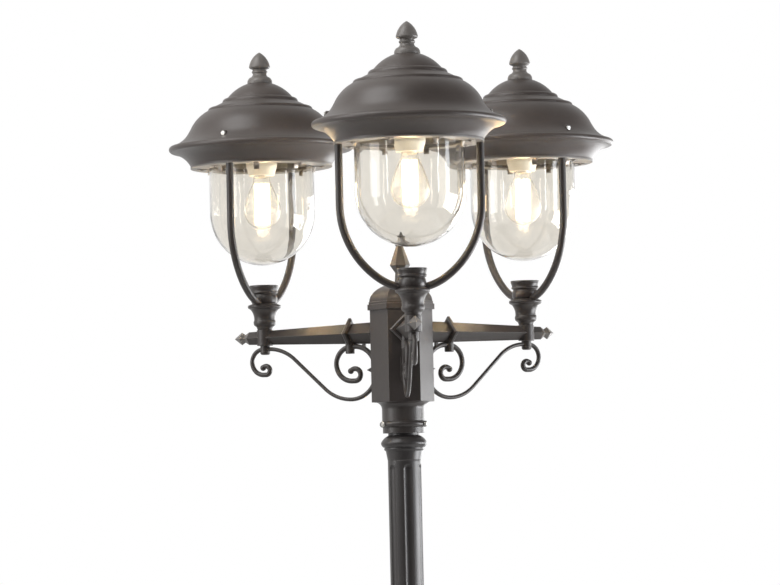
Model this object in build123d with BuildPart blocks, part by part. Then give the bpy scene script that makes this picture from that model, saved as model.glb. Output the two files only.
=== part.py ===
from build123d import *
import os
from math import asin, atan2, cos, degrees, hypot, pi, radians, sin, sqrt

# Triple head lamp post, in millimetres.
# Z is up, with the origin at the centre of the foot's underside. The front arm points along -Y, and the
# other two are 120 degrees to each side. Each arm's pieces are made once, on an arm along +X, and copied.

os.makedirs("parts", exist_ok=True)

# ------------------------------------------------------------------ driving dimensions
# Arms and what repeats around the post
arm_angles = {"front": -90, "right": 30, "left": 150}
hub_sides = 6

# Clearances
seat_clearance = 0.15  # a piece that is fitted inside another and stays there
swivel_clearance = 0.06  # the head's sleeve on the capital's spigot, on the radius
thread_clearance = 0.1  # a screw or a threaded tube in its hole
lift_clearance = 0.5  # a hood over the gallery's centring rim
bulb_clearance = 0.4  # the bulb's cap in the lampholder

# Foot flange
foot_radius = 120
foot_thickness = 12
foot_edge_fillet = 4
foot_spigot_height = 8
anchor_circle_radius = 102
anchor_hole_radius = 6
anchor_count = 4
anchor_start_angle = 45

# Cable grommet
inlet_radius = 8
grommet_radius = 16
grommet_lip_radius = 21
grommet_lip_height = 3

# Earth stud
earth_stud_radius = 4
earth_stud_length = 22
earth_nut_radius = 7.5
earth_nut_height = 6.5
earth_stud_reach = 48

# Pedestal
pedestal_height = 228
pedestal_foot_radius = 84
pedestal_plinth_height = 12
pedestal_bead_height = 10
pedestal_cove_radius = 76
pedestal_waist_radius = 52
pedestal_waist_height = 92
pedestal_ring_height = 10
pedestal_vase_radius = 50
pedestal_vase_top_radius = 46
pedestal_vase_top_height = 194
pedestal_collar_height = 14
pedestal_bore_radius = 38
pedestal_skirt_wall = 8
pedestal_bead_radius = 79
pedestal_ring_bulge = 4
pedestal_cove_hollow = 13
pedestal_vase_bulge = 11

# Fluted columns
lower_column_length = 480
lower_column_radius = 43
lower_column_bore_radius = 33
lower_flute_count = 12
lower_flute_radius = 9
lower_flute_depth = 3.5
lower_flute_margin = 24
upper_column_length = 742
upper_column_radius = 26.5
upper_column_bore_radius = 18
upper_flute_count = 6
upper_flute_radius = 10
upper_flute_depth = 3.5
upper_flute_low_margin = 20
upper_flute_top_margin = 14
flute_phase = 7
spigot_length = 20
cable_way_radius = 12

# Joint ring between the columns
joint_ring_height = 70
joint_foot_radius = 52
joint_foot_height = 14
joint_neck_radius = 34
joint_neck_height = 44
joint_bead_radius = 39
joint_bead_height = 12
joint_top_radius = 31
joint_bulge = 4

# Capital and the spigot that the head turns on
capital_height = 39.5
capital_radius = 36.7
capital_widest_height = 28
capital_ring_radius = 31
capital_ring_height = 17
capital_throat_radius = 28
capital_throat_height = 8
capital_ring_bulge = 1.6
swivel_radius = 25
swivel_gap = 4
swivel_length = 39.5

# Hub neck
neck_bottom_radius = 33.2
neck_radius = 34
neck_bead_radius = 38
neck_bead_height = 10
neck_bead_drop = 35.5  # from the hub's floor down to the middle of the bead
neck_cove_height = 12
neck_cove_radius = 45
neck_cove_hollow = 3.5
neck_roof = 10
neck_spigot_radius = 20
neck_spigot_length = 17
neck_nut_radius = 27
lock_nut_height = 6
set_screw_radius = 3
set_screw_head_radius = 4.5
set_screw_head_height = 3.5
set_screw_start_angle = -30
set_screw_count = 3

# Hub body, across its corners
hub_radius = 50
hub_wall = 4
hub_floor = 5
hub_below_axis = 112
hub_above_axis = 44

# Hub cap
cap_radius = 53.6
cap_band_height = 9
cap_step_radius = 51.5
cap_step_height = 4
cap_dome_radius = 50.5
cap_dome_rise = 30
cap_wall = 3
cap_boss_radius = 10
cap_boss_height = 6
cap_boss_rise = 2

# Spire on the cap, with its stud and the bridge that takes it
spire_foot_radius = 9
spire_neck_radius = 8
spire_neck_height = 14
spire_radius = 16.2
spire_widest_height = 26
spire_throat_radius = 5.4
spire_throat_height = 57
spire_ring_radius = 7.3
spire_ring_height = 4
spire_tip_radius = 4.2
spire_tip_height = 10
stud_radius = 4
bridge_width = 24
bridge_thickness = 5
bridge_height = 20
terminal_inradius = 15
terminal_depth = 34

# Arms: half of the diamond's diagonal
arm_root_half = 17.5
arm_end_half = 10.3
arm_end_overhang = 29  # from the lantern's axis to the arm's end
arm_wall = 2.5
arm_root_plate = 4
collar_half = 20.5
collar_length = 7
nipple_radius = 8
nipple_bore_radius = 5
nipple_length = 14
arm_nut_radius = 13
boss_radius = 13
boss_half_height = 12.6

# Arm tips
tip_neck_half = 6.3
tip_neck_run = 6.5  # from the arm's end
tip_half = 10.2
tip_widest_run = 13
tip_run = 26
tip_point_half = 0.5
tip_plug_length = 12

# Clamp bands near the hub
clamp_reach = 92
clamp_width = 8
clamp_rise = 9.5
clamp_chamfer = 2
lug_radius = 7.5
lug_depth = 15.7
lug_fillet = 1.5

# Scroll braces, in the plane of the arm: radius of the centre line of each stretch
scroll_rod_radius = 4.1
scroll_thin_radius = 3
scroll_thin_start = 0.3  # share of the outer brace's length
scroll_thin_end = 0.5
scroll_pad_thickness = 3
scroll_pad_width = 12
scroll_pad_top = -42
scroll_pad_bottom = -80
cusp_height = 18
cusp_thickness = 6
cusp_reach = 62
cusp_level = -59
inner_top_level = -20.3
inner_shoulder_radius = 36
inner_turn_reach = 89.4
inner_turn_radius = 27.6
inner_curl_reach = 84
inner_curl_radius = 9.8
outer_top_level = -18.5
outer_top_inset = 6  # from the lantern's axis towards the post
outer_turn_overhang = 3.4
outer_turn_radius = 20.75
outer_curl_inset = 1
outer_curl_radius = 7
curl_overturn = 50
curl_ball_radius = 4.9
belly_reach = 91
belly_level = -105
belly_radius = 46
belly_turn = 50
hip_radius = 35.5
sway_straight = 73.9
eye_radius = 8
eye_height = 10
tie_reach = 67
tie_width = 5

# Lantern axis and heights above the arm's axis
lantern_reach = 246
gallery_level = 279

# Stems
stem_radius = 6.5
stem_bore_radius = 4
stem_head_radius = 8
stem_head_height = 5
stem_head_fillet = 3.4
lead_hole_radius = 3.6

# Cups
cup_foot_radius = 11.5
cup_foot_rise = 5
cup_bead_radius = 18
cup_bead_level = 24.5
cup_bead_half_height = 4
cup_throat_radius = 13.3
cup_body_radius = 17
cup_body_hollow = 1.8
cup_neck_radius = 22.4
cup_flange_radius = 26
cup_flange_level = 50.5
cup_flange_drop = 4.5
cup_flange_half_height = 2.4
cup_flange_bulge = 0.9
cup_groove_radius = 19.3
cup_ring_radius = 20.6
cup_ring_low = 57.5
cup_ring_high = 68
cup_ring_bulge = 0.8
cup_groove_height = 2.6
cup_lip_radius = 22.2
cup_lip_level = 72.5
cup_lip_height = 1.6
cup_rim_waist_radius = 21.6
cup_rim_hollow = 0.4
cup_top_radius = 23.4
cup_top_level = 85
cup_rim_height = 3

# Yokes
yoke_tube_radius = 6
yoke_bore_radius = 4.4
yoke_half_width = 109
yoke_leg_length = 94
yoke_bottom_radius = 88
yoke_bottom_level = 54

# Leads
lead_radius = 2.5
lead_bend_radius = 5

# Galleries
gallery_thickness = 2
gallery_rim_height = 6
gallery_rim_wall = 3
lug_plate_width = 16
lug_plate_height = 50
lug_plate_wall = 4
lug_slot_width = 5.6

# Bowls
bowl_radius = 85
bowl_wall = 2.5
bowl_depth = 161
bowl_flange_radius = 93
bowl_flange_height = 3

# Hoods: heights above the rim
hood_wall = 2.2
hood_rim_radius = 145
hood_rim_bulge = 5
hood_rim_half_height = 5
hood_rim_pocket = 1.9
hood_band_radius = 115.3
hood_band_height = 2.5
hood_band_drop = 29.5
hood_cavetto_hollow = 4.2
hood_flare_hollow = 3.7
hood_waist_radius = 117
hood_waist_height = 27.6
hood_shoulder_foot_radius = 114.3
hood_shoulder_foot_height = 32.4
hood_shoulder_radius = 85
hood_shoulder_height = 62.5
hood_shoulder_bulge = 3.6
hood_step_radius = 79
hood_step_height = 67
hood_step_bulge = 2
hood_bead_radius = 61.5
hood_bead_height = 75.5
hood_bead_bulge = 2.4
hood_dome_radius = 54
hood_dome_height = 82
hood_dome_bulge = 3.2
hood_crown_radius = 20
hood_crown_height = 106
hood_crown_plate = 3

# Hood screws and their bosses
hood_screw_height = 15
hood_screw_radius = 2.4
hood_screw_run = 5.6  # past the gallery's rim, towards the lantern's axis
hood_screw_head_radius = 4
hood_screw_head_height = 2.6
hood_boss_radius = 5.4
hood_boss_gap = 3.4  # from the gallery's rim to the boss
hood_boss_overhang = 10.5  # from the hood's waist out to the boss's face
hood_screw_head_fillet = 1

# Hood finials: heights above the hood's crown
finial_foot_radius = 18.7
finial_foot_height = 2.5
finial_flare_radius = 15.6
finial_flare_height = 9
finial_groove_radius = 9.4
finial_groove_height = 14
finial_ring_radius = 11
finial_ring_height = 19.5
finial_ring_half_height = 1.6
finial_foot_bulge = 1
finial_throat_radius = 8.4
acorn_foot_height = 23
acorn_radius = 15.3
acorn_widest_height = 27.5
acorn_height = 48
acorn_point_radius = 1.2
acorn_bulge = 3.2
finial_socket_depth = 12

# Lampholders and the threaded tubes that carry them, heights above the gallery
holder_skirt_drop = 15
holder_mouth_radius = 20.5
holder_skirt_radius = 25
holder_skirt_height = 36
holder_shoulder_radius = 14
holder_shoulder_height = 50
holder_top_radius = 9
holder_top_height = 62
holder_socket_depth = 14
holder_tube_radius = 5
holder_tube_bore_radius = 3.4
holder_nut_radius = 10
holder_nut_height = 6

# Bulbs
bulb_radius = 30
bulb_drop = 102
bulb_glass_wall = 1
bulb_neck_radius = 13.4
bulb_neck_drop = 18
bulb_shoulder_radius = 19.5
bulb_shoulder_drop = 37
bulb_cap_radius = 13.2
bulb_cap_length = 22
bulb_cap_wall = 0.8
bulb_contact_radius = 5
bulb_contact_length = 4
bulb_contact_clearance = 0.3
bulb_draw_angle = 20

# ------------------------------------------------------------------ levels and places
column_lower_base = foot_thickness + pedestal_height
joint_ring_base = column_lower_base + lower_column_length
column_upper_base = joint_ring_base + joint_ring_height
capital_base = column_upper_base + upper_column_length
neck_base = capital_base + capital_height + swivel_gap
neck_height = neck_roof + swivel_length
hub_base = neck_base + neck_height
arm_level = hub_base + hub_below_axis
hood_level = arm_level + gallery_level + hood_band_drop
crown_level = hood_level + hood_crown_height

arm_end_reach = lantern_reach + arm_end_overhang
outer_top_reach = lantern_reach - outer_top_inset
outer_turn_reach = lantern_reach + outer_turn_overhang
outer_curl_reach = lantern_reach - outer_curl_inset
hub_apothem = hub_radius * cos(pi / hub_sides)
hub_inner_radius = hub_radius - hub_wall / cos(pi / hub_sides)
hub_inner_apothem = hub_apothem - hub_wall
gallery_rim_radius = hood_band_radius - hood_wall - lift_clearance
hood_screw_tip_reach = gallery_rim_radius - hood_screw_run
hood_boss_inner_reach = gallery_rim_radius + hood_boss_gap
hood_boss_outer_reach = hood_waist_radius + hood_boss_overhang
bowl_hole_radius = bowl_radius + 4 * seat_clearance
lantern_axis = Axis((lantern_reach, 0, 0), (0, 0, 1))
floor_up = (Align.CENTER, Align.CENTER, Align.MIN)
roof_down = (Align.CENTER, Align.CENTER, Align.MAX)


def section_plane(level, reach=0):
    """Upright plane for a half section: x is the radius and y the height above the level."""
    return Plane(origin=(reach, 0, level), x_dir=(1, 0, 0), z_dir=(0, -1, 0))


def across_arm(reach):
    """Plane square to the arm at a distance from the post's axis."""
    return Plane(origin=(reach, 0, arm_level), x_dir=(0, 1, 0), z_dir=(1, 0, 0))


def radial_plane(level, angle, reach=0):
    """Plane that faces away from the post's axis at an angle around it."""
    outward = Vector(cos(radians(angle)), sin(radians(angle)), 0)
    return Plane(origin=outward * reach + Vector(0, 0, level), x_dir=(0, 0, 1), z_dir=outward)


def write_piece(part, name):
    part.label = name
    export_step(part, f"parts/{name}.step")


def write_around(master, name):
    """Write one copy of an arm's piece for each arm, under its own name."""
    for arm_name, angle in arm_angles.items():
        with BuildPart() as placed:
            add(master.part, rotation=(0, 0, angle))
        write_piece(placed.part, f"{name}_{arm_name}")


def group_around(master, name):
    """Write an arm's piece for all arms as one group of separate solids."""
    with BuildPart() as group:
        for angle in arm_angles.values():
            add(master.part, rotation=(0, 0, angle))
    write_piece(group.part, name)


def arm_half(reach):
    """Half of the arm's diagonal at a distance from the post's axis."""
    taper = (arm_root_half - arm_end_half) / (arm_end_reach - hub_apothem)
    return arm_root_half - taper * (reach - hub_apothem)


def diamond(half):
    """Square that stands on its corner, by half of its diagonal."""
    Rectangle(half * sqrt(2), half * sqrt(2), rotation=45)


def arm_taper(inner_reach, outer_reach, growth):
    """Length of the arm's tapered bar, grown on its diagonal by an amount."""
    with BuildPart() as taper:
        for reach in (inner_reach, outer_reach):
            with BuildSketch(across_arm(reach)):
                diamond(arm_half(reach) + growth)
        loft()
    return taper.part


def rod_along(path, stations, clearance=0):
    """Round rod in an arm's plane; stations are pairs of a share of the path's length and a radius."""
    with BuildPart() as rod:
        for share, radius in stations:
            with BuildSketch(Plane(origin=path @ share, x_dir=(0, 1, 0), z_dir=path % share)):
                Circle(radius + clearance)
        sweep(path=path, multisection=len(stations) > 1)
    return rod.part


def tube_along(path, radius, bore=0):
    """Round tube of one size along a path."""
    with BuildPart() as tube:
        with BuildSketch(Plane(origin=path @ 0, z_dir=path % 0)):
            Circle(radius)
            if bore:
                Circle(bore, mode=Mode.SUBTRACT)
        sweep(path=path)
    return tube.part


def turned_line(points):
    """Outline through points, each a radius, a height and the sagitta of the stretch that leads to it."""
    for start, end in zip(points, points[1:]):
        if end[2]:
            SagittaArc(start[:2], end[:2], end[2])
        else:
            Line(start[:2], end[:2])


# ------------------------------------------------------------------ foot flange
with BuildPart() as base_flange:
    Cylinder(foot_radius, foot_thickness, align=floor_up)
    fillet(base_flange.edges().filter_by(GeomType.CIRCLE).group_by(Axis.Z)[-1], foot_edge_fillet)
    with BuildSketch(Plane.XY.offset(foot_thickness)):
        Circle(pedestal_foot_radius - pedestal_skirt_wall - seat_clearance)
    extrude(amount=foot_spigot_height)
    Cylinder(grommet_radius + seat_clearance, foot_thickness + foot_spigot_height, align=floor_up,
             mode=Mode.SUBTRACT)
    with PolarLocations(anchor_circle_radius, anchor_count, start_angle=anchor_start_angle):
        Cylinder(anchor_hole_radius, foot_thickness, align=floor_up, mode=Mode.SUBTRACT)
write_piece(base_flange.part, "base_flange")

# ------------------------------------------------------------------ cable grommet
foot_deck = foot_thickness + foot_spigot_height
with BuildPart() as cable_grommet:
    Cylinder(grommet_radius, foot_deck, align=floor_up)
    with BuildSketch(Plane.XY.offset(foot_deck)):
        Circle(grommet_lip_radius)
    extrude(amount=grommet_lip_height)
    Cylinder(inlet_radius, foot_deck + grommet_lip_height, align=floor_up, mode=Mode.SUBTRACT)
write_piece(cable_grommet.part, "cable_grommet")

# ------------------------------------------------------------------ earth stud
with BuildPart() as earth_stud:
    with BuildSketch(Plane(origin=(0, earth_stud_reach, foot_deck))):
        RegularPolygon(earth_nut_radius, 6)
    extrude(amount=earth_nut_height)
    with BuildSketch(Plane(origin=(0, earth_stud_reach, foot_deck))):
        Circle(earth_stud_radius)
    extrude(amount=earth_stud_length)
write_piece(earth_stud.part, "earth_stud")

# ------------------------------------------------------------------ pedestal
pedestal_bead_base = pedestal_plinth_height
pedestal_bead_top = pedestal_plinth_height + pedestal_bead_height
pedestal_ring_top = pedestal_waist_height + pedestal_ring_height
pedestal_collar_top = pedestal_vase_top_height + pedestal_collar_height
with BuildPart() as base_pedestal:
    with BuildSketch(section_plane(foot_thickness)):
        with BuildLine():
            turned_line((
                (pedestal_foot_radius - pedestal_skirt_wall, 0),
                (pedestal_foot_radius, 0, 0),
                (pedestal_foot_radius, pedestal_bead_base, 0),
                (pedestal_bead_radius, pedestal_bead_base, 0),
                (pedestal_bead_radius, pedestal_bead_top, -pedestal_ring_bulge),
                (pedestal_cove_radius, pedestal_bead_top, 0),
                (pedestal_waist_radius, pedestal_waist_height, pedestal_cove_hollow),
                (pedestal_waist_radius, pedestal_ring_top, -pedestal_ring_bulge),
                (pedestal_vase_radius, pedestal_ring_top, 0),
                (pedestal_vase_top_radius, pedestal_vase_top_height, -pedestal_vase_bulge),
                (pedestal_vase_top_radius, pedestal_collar_top, -pedestal_ring_bulge),
                (pedestal_vase_top_radius, pedestal_height, 0),
                (pedestal_bore_radius, pedestal_height, 0),
                (pedestal_bore_radius, pedestal_waist_height, 0),
                (pedestal_cove_radius - pedestal_skirt_wall, pedestal_bead_top, -pedestal_cove_hollow),
                (pedestal_foot_radius - pedestal_skirt_wall, foot_spigot_height + seat_clearance, 0),
                (pedestal_foot_radius - pedestal_skirt_wall, 0, 0),
            ))
        make_face()
    revolve(axis=Axis.Z)
write_piece(base_pedestal.part, "base_pedestal")


# ------------------------------------------------------------------ fluted columns
def fluted_column(base, length, radius, bore, flutes, flute_radius, depth, low_margin, top_margin):
    """Hollow column with round-ended flutes."""
    flute_reach = radius - depth + flute_radius
    flute_base = base + low_margin
    flute_length = length - low_margin - top_margin
    with BuildPart() as column:
        with BuildSketch(Plane.XY.offset(base)):
            Circle(radius)
            Circle(bore, mode=Mode.SUBTRACT)
        extrude(amount=length)
        with Locations((0, 0, flute_base)):
            with PolarLocations(flute_reach, flutes, start_angle=-90 + flute_phase):
                Cylinder(flute_radius, flute_length, align=floor_up, mode=Mode.SUBTRACT)
                Sphere(flute_radius, mode=Mode.SUBTRACT)
        with Locations((0, 0, flute_base + flute_length)):
            with PolarLocations(flute_reach, flutes, start_angle=-90 + flute_phase):
                Sphere(flute_radius, mode=Mode.SUBTRACT)
    return column.part


with BuildPart() as column_lower:
    add(fluted_column(column_lower_base, lower_column_length, lower_column_radius,
                      lower_column_bore_radius, lower_flute_count, lower_flute_radius,
                      lower_flute_depth, lower_flute_margin, lower_flute_margin))
    with BuildSketch(Plane.XY.offset(column_lower_base)):
        Circle(pedestal_bore_radius - seat_clearance)
        Circle(lower_column_bore_radius, mode=Mode.SUBTRACT)
    extrude(amount=-spigot_length)
write_piece(column_lower.part, "column_lower")

column_upper = fluted_column(column_upper_base, upper_column_length, upper_column_radius,
                             upper_column_bore_radius, upper_flute_count, upper_flute_radius,
                             upper_flute_depth, upper_flute_low_margin, upper_flute_top_margin)
write_piece(column_upper, "column_upper")

# ------------------------------------------------------------------ joint ring
joint_bead_top = joint_neck_height + joint_bead_height
with BuildPart() as column_joint_ring:
    with BuildSketch(section_plane(joint_ring_base)):
        with BuildLine():
            turned_line((
                (cable_way_radius, -spigot_length),
                (lower_column_bore_radius - seat_clearance, -spigot_length, 0),
                (lower_column_bore_radius - seat_clearance, 0, 0),
                (joint_foot_radius - joint_bulge, 0, 0),
                (joint_foot_radius - joint_bulge, joint_foot_height, -joint_bulge),
                (joint_neck_radius, joint_neck_height, joint_bulge),
                (joint_neck_radius, joint_bead_top, joint_neck_radius - joint_bead_radius),
                (joint_top_radius, joint_bead_top, 0),
                (joint_top_radius, joint_ring_height, 0),
                (upper_column_bore_radius - seat_clearance, joint_ring_height, 0),
                (upper_column_bore_radius - seat_clearance, joint_ring_height + spigot_length, 0),
                (cable_way_radius, joint_ring_height + spigot_length, 0),
                (cable_way_radius, -spigot_length, 0),
            ))
        make_face()
    revolve(axis=Axis.Z)
write_piece(column_joint_ring.part, "column_joint_ring")

# ------------------------------------------------------------------ capital
spigot_top = capital_height + swivel_gap + swivel_length
with BuildPart() as column_capital:
    with BuildSketch(section_plane(capital_base)):
        with BuildLine():
            turned_line((
                (cable_way_radius, -spigot_length),
                (upper_column_bore_radius - seat_clearance, -spigot_length, 0),
                (upper_column_bore_radius - seat_clearance, 0, 0),
                (upper_column_radius, 0, 0),
                (capital_throat_radius, capital_throat_height, 0),
                (capital_ring_radius - capital_ring_bulge, capital_ring_height - capital_ring_bulge, 0),
                (capital_ring_radius, capital_ring_height + 2 * capital_ring_bulge, -capital_ring_bulge),
                (capital_radius, capital_widest_height, -capital_ring_bulge),
                (swivel_radius, capital_height, -capital_ring_bulge),
                (swivel_radius, spigot_top, 0),
                (cable_way_radius, spigot_top, 0),
                (cable_way_radius, -spigot_length, 0),
            ))
        make_face()
    revolve(axis=Axis.Z)
write_piece(column_capital.part, "column_capital")

# ------------------------------------------------------------------ hub neck
sleeve_radius = swivel_radius + swivel_clearance
set_screw_turns = [set_screw_start_angle + turn * 360 / set_screw_count for turn in range(set_screw_count)]
neck_bead_middle = neck_height - neck_bead_drop
neck_bead_low = neck_bead_middle - neck_bead_height / 2
neck_bead_high = neck_bead_middle + neck_bead_height / 2
neck_cove_base = neck_height - neck_cove_height
with BuildPart() as hub_neck:
    with BuildSketch(section_plane(neck_base)):
        with BuildLine():
            Polyline(
                (sleeve_radius, 0),
                (neck_bottom_radius, 0),
                (neck_bottom_radius, neck_bead_low),
            )
            ThreePointArc(
                (neck_bottom_radius, neck_bead_low),
                (neck_bead_radius, neck_bead_middle),
                (neck_radius, neck_bead_high),
            )
            Line((neck_radius, neck_bead_high), (neck_radius, neck_cove_base))
            SagittaArc(
                (neck_radius, neck_cove_base), (neck_cove_radius, neck_height), neck_cove_hollow
            )
            Polyline(
                (neck_cove_radius, neck_height),
                (neck_spigot_radius, neck_height),
                (neck_spigot_radius, neck_height + neck_spigot_length),
                (cable_way_radius, neck_height + neck_spigot_length),
                (cable_way_radius, swivel_length),
                (sleeve_radius, swivel_length),
                (sleeve_radius, 0),
            )
        make_face()
    revolve(axis=Axis.Z)
    for turn in set_screw_turns:
        with BuildSketch(radial_plane(neck_base + neck_bead_middle, turn)):
            Circle(set_screw_radius + thread_clearance)
        extrude(amount=neck_bead_radius + set_screw_head_height, mode=Mode.SUBTRACT)
write_piece(hub_neck.part, "hub_neck")

# ------------------------------------------------------------------ set screws
with BuildPart() as neck_set_screws:
    for turn in set_screw_turns:
        with BuildSketch(radial_plane(neck_base + neck_bead_middle, turn, sleeve_radius)):
            Circle(set_screw_radius)
        extrude(amount=neck_bead_radius - sleeve_radius)
        with BuildSketch(radial_plane(neck_base + neck_bead_middle, turn, neck_bead_radius)):
            Circle(set_screw_head_radius)
        extrude(amount=set_screw_head_height)
    fillet(neck_set_screws.edges().filter_by(GeomType.CIRCLE).sort_by(
        lambda edge: hypot(edge.arc_center.X, edge.arc_center.Y))[-set_screw_count:],
        set_screw_head_radius / 2)
write_piece(neck_set_screws.part, "neck_set_screws")

# ------------------------------------------------------------------ hub body
hub_height = hub_below_axis + hub_above_axis
with BuildPart() as hub_body:
    with BuildSketch(Plane.XY.offset(hub_base)):
        RegularPolygon(hub_radius, hub_sides)
    extrude(amount=hub_height)
    with BuildSketch(Plane.XY.offset(hub_base + hub_floor)):
        RegularPolygon(hub_inner_radius, hub_sides)
    extrude(amount=hub_height - hub_floor, mode=Mode.SUBTRACT)
    with BuildSketch(Plane.XY.offset(hub_base)):
        Circle(neck_spigot_radius + seat_clearance)
    extrude(amount=hub_floor, mode=Mode.SUBTRACT)
    for angle in arm_angles.values():
        with BuildSketch(radial_plane(arm_level, angle)):
            Circle(nipple_radius + seat_clearance)
        extrude(amount=hub_radius, mode=Mode.SUBTRACT)
write_piece(hub_body.part, "hub_body")

# ------------------------------------------------------------------ lock nuts inside the hub
with BuildPart() as hub_lock_nuts:
    with BuildSketch(Plane.XY.offset(hub_base + hub_floor)):
        RegularPolygon(neck_nut_radius, 6)
        Circle(neck_spigot_radius + thread_clearance, mode=Mode.SUBTRACT)
    extrude(amount=lock_nut_height)
    for angle in arm_angles.values():
        with BuildSketch(radial_plane(arm_level, angle, hub_inner_apothem)):
            RegularPolygon(arm_nut_radius, 6)
            Circle(nipple_radius + thread_clearance, mode=Mode.SUBTRACT)
        extrude(amount=-lock_nut_height)
write_piece(hub_lock_nuts.part, "hub_lock_nuts")


# ------------------------------------------------------------------ hub cap
def creased_dome(level, corner_radius, rise):
    """Dome of curved faces that meet in creases above the hub's corners."""
    flat_radius = corner_radius * cos(pi / hub_sides)
    with BuildPart() as gore:
        with BuildSketch(Plane(origin=(0, flat_radius, 0), x_dir=(1, 0, 0), z_dir=(0, -1, 0))):
            Ellipse(flat_radius, rise)
            Rectangle(corner_radius, 2 * rise, align=(Align.MAX, Align.CENTER), mode=Mode.SUBTRACT)
            Rectangle(corner_radius, rise, align=(Align.MIN, Align.MAX), mode=Mode.SUBTRACT)
        extrude(amount=2 * flat_radius)
        with BuildSketch():
            with BuildLine():
                Polyline(
                    (0, 0),
                    (flat_radius, -corner_radius / 2),
                    (flat_radius, corner_radius / 2),
                    (0, 0),
                )
            make_face()
        extrude(amount=rise, mode=Mode.INTERSECT)
    with BuildPart() as dome:
        for side in range(hub_sides):
            angle = 180 / hub_sides + side * 360 / hub_sides
            add(gore.part, rotation=(0, 0, angle))
    return dome.part.moved(Location((0, 0, level)))


cap_base = hub_base + hub_height - cap_band_height
cap_dome_base = hub_base + hub_height + cap_step_height
cap_boss_top = cap_dome_base + cap_dome_rise + cap_boss_rise
with BuildPart() as hub_cap:
    with BuildSketch(Plane.XY.offset(cap_base)):
        RegularPolygon(cap_radius, hub_sides)
    extrude(amount=cap_band_height)
    with BuildSketch(Plane.XY.offset(hub_base + hub_height)):
        RegularPolygon(cap_step_radius, hub_sides)
    extrude(amount=cap_step_height)
    add(creased_dome(cap_dome_base, cap_dome_radius, cap_dome_rise))
    with BuildSketch(Plane.XY.offset(cap_boss_top)):
        Circle(cap_boss_radius)
    extrude(amount=-cap_boss_height - cap_wall)
    add(creased_dome(cap_dome_base, hub_inner_radius, cap_dome_rise - cap_wall), mode=Mode.SUBTRACT)
    with BuildSketch(Plane.XY.offset(hub_base + hub_height)):
        RegularPolygon(hub_inner_radius, hub_sides)
    extrude(amount=cap_step_height, mode=Mode.SUBTRACT)
    with BuildSketch(Plane.XY.offset(cap_base)):
        RegularPolygon(hub_radius + seat_clearance, hub_sides)
    extrude(amount=cap_band_height, mode=Mode.SUBTRACT)
    with BuildSketch(Plane.XY.offset(cap_dome_base)):
        Circle(stud_radius + thread_clearance)
    extrude(amount=cap_dome_rise + cap_boss_height, mode=Mode.SUBTRACT)
write_piece(hub_cap.part, "hub_cap")

# ------------------------------------------------------------------ spire with its stud
spire_ring_base = cap_boss_top + spire_throat_height
bridge_base = arm_level + bridge_height
with BuildPart() as hub_spire:
    for height, radius in (
        (0, spire_foot_radius),
        (spire_neck_height, spire_neck_radius),
        (spire_widest_height, spire_radius),
        (spire_throat_height, spire_throat_radius),
    ):
        with BuildSketch(Plane.XY.offset(cap_boss_top + height)):
            RegularPolygon(radius, hub_sides)
    loft(ruled=True)
    with BuildSketch(Plane.XY.offset(spire_ring_base)):
        Circle(spire_ring_radius)
    extrude(amount=spire_ring_height)
    with Locations((0, 0, spire_ring_base + spire_ring_height)):
        Cone(spire_tip_radius, spire_tip_radius / 4, spire_tip_height, align=floor_up)
    with BuildSketch(Plane.XY.offset(cap_boss_top)):
        Circle(stud_radius)
    extrude(amount=bridge_base - cap_boss_top)
write_piece(hub_spire.part, "hub_spire")

# ------------------------------------------------------------------ bridge and terminal block
with BuildPart() as cap_bridge:
    with BuildSketch(Plane.XY.offset(bridge_base)):
        Rectangle(bridge_width, 2 * (hub_inner_apothem - seat_clearance))
        Circle(stud_radius + thread_clearance, mode=Mode.SUBTRACT)
    extrude(amount=bridge_thickness)
write_piece(cap_bridge.part, "cap_bridge")

with BuildPart() as terminal_block:
    with BuildSketch(Plane.XY.offset(bridge_base)):
        RegularPolygon(terminal_inradius, hub_sides, major_radius=False)
    extrude(amount=-terminal_depth)
write_piece(terminal_block.part, "terminal_block")


# ------------------------------------------------------------------ arms
arm_bore_inset = -arm_wall * sqrt(2)
boss_level = arm_level - boss_half_height
with BuildPart() as arm:
    add(arm_taper(hub_apothem, arm_end_reach, 0))
    with BuildSketch(across_arm(hub_apothem)):
        diamond(collar_half)
    extrude(amount=collar_length)
    with BuildSketch(Plane(origin=(lantern_reach, 0, boss_level))):
        Circle(boss_radius)
    extrude(amount=2 * boss_half_height)
    with BuildSketch(across_arm(hub_apothem)):
        Circle(nipple_radius)
    extrude(amount=-nipple_length)
    add(arm_taper(hub_apothem + arm_root_plate, arm_end_reach, arm_bore_inset), mode=Mode.SUBTRACT)
    with BuildSketch(across_arm(hub_apothem - nipple_length)):
        Circle(nipple_bore_radius)
    extrude(amount=nipple_length + arm_root_plate, mode=Mode.SUBTRACT)
    with BuildSketch(Plane(origin=(lantern_reach, 0, boss_level))):
        Circle(stem_radius + seat_clearance)
    extrude(amount=2 * boss_half_height, mode=Mode.SUBTRACT)
write_around(arm, "arm")

# ------------------------------------------------------------------ arm tips
with BuildPart() as arm_tip:
    for reach, half in (
        (arm_end_reach, arm_end_half),
        (arm_end_reach + tip_neck_run, tip_neck_half),
        (arm_end_reach + tip_widest_run, tip_half),
        (arm_end_reach + tip_run, tip_point_half),
    ):
        with BuildSketch(across_arm(reach)):
            diamond(half)
    loft(ruled=True)
    with BuildSketch(across_arm(arm_end_reach)):
        diamond(arm_end_half + arm_bore_inset - seat_clearance * sqrt(2))
    extrude(amount=-tip_plug_length)
group_around(arm_tip, "arm_tips")

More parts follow.
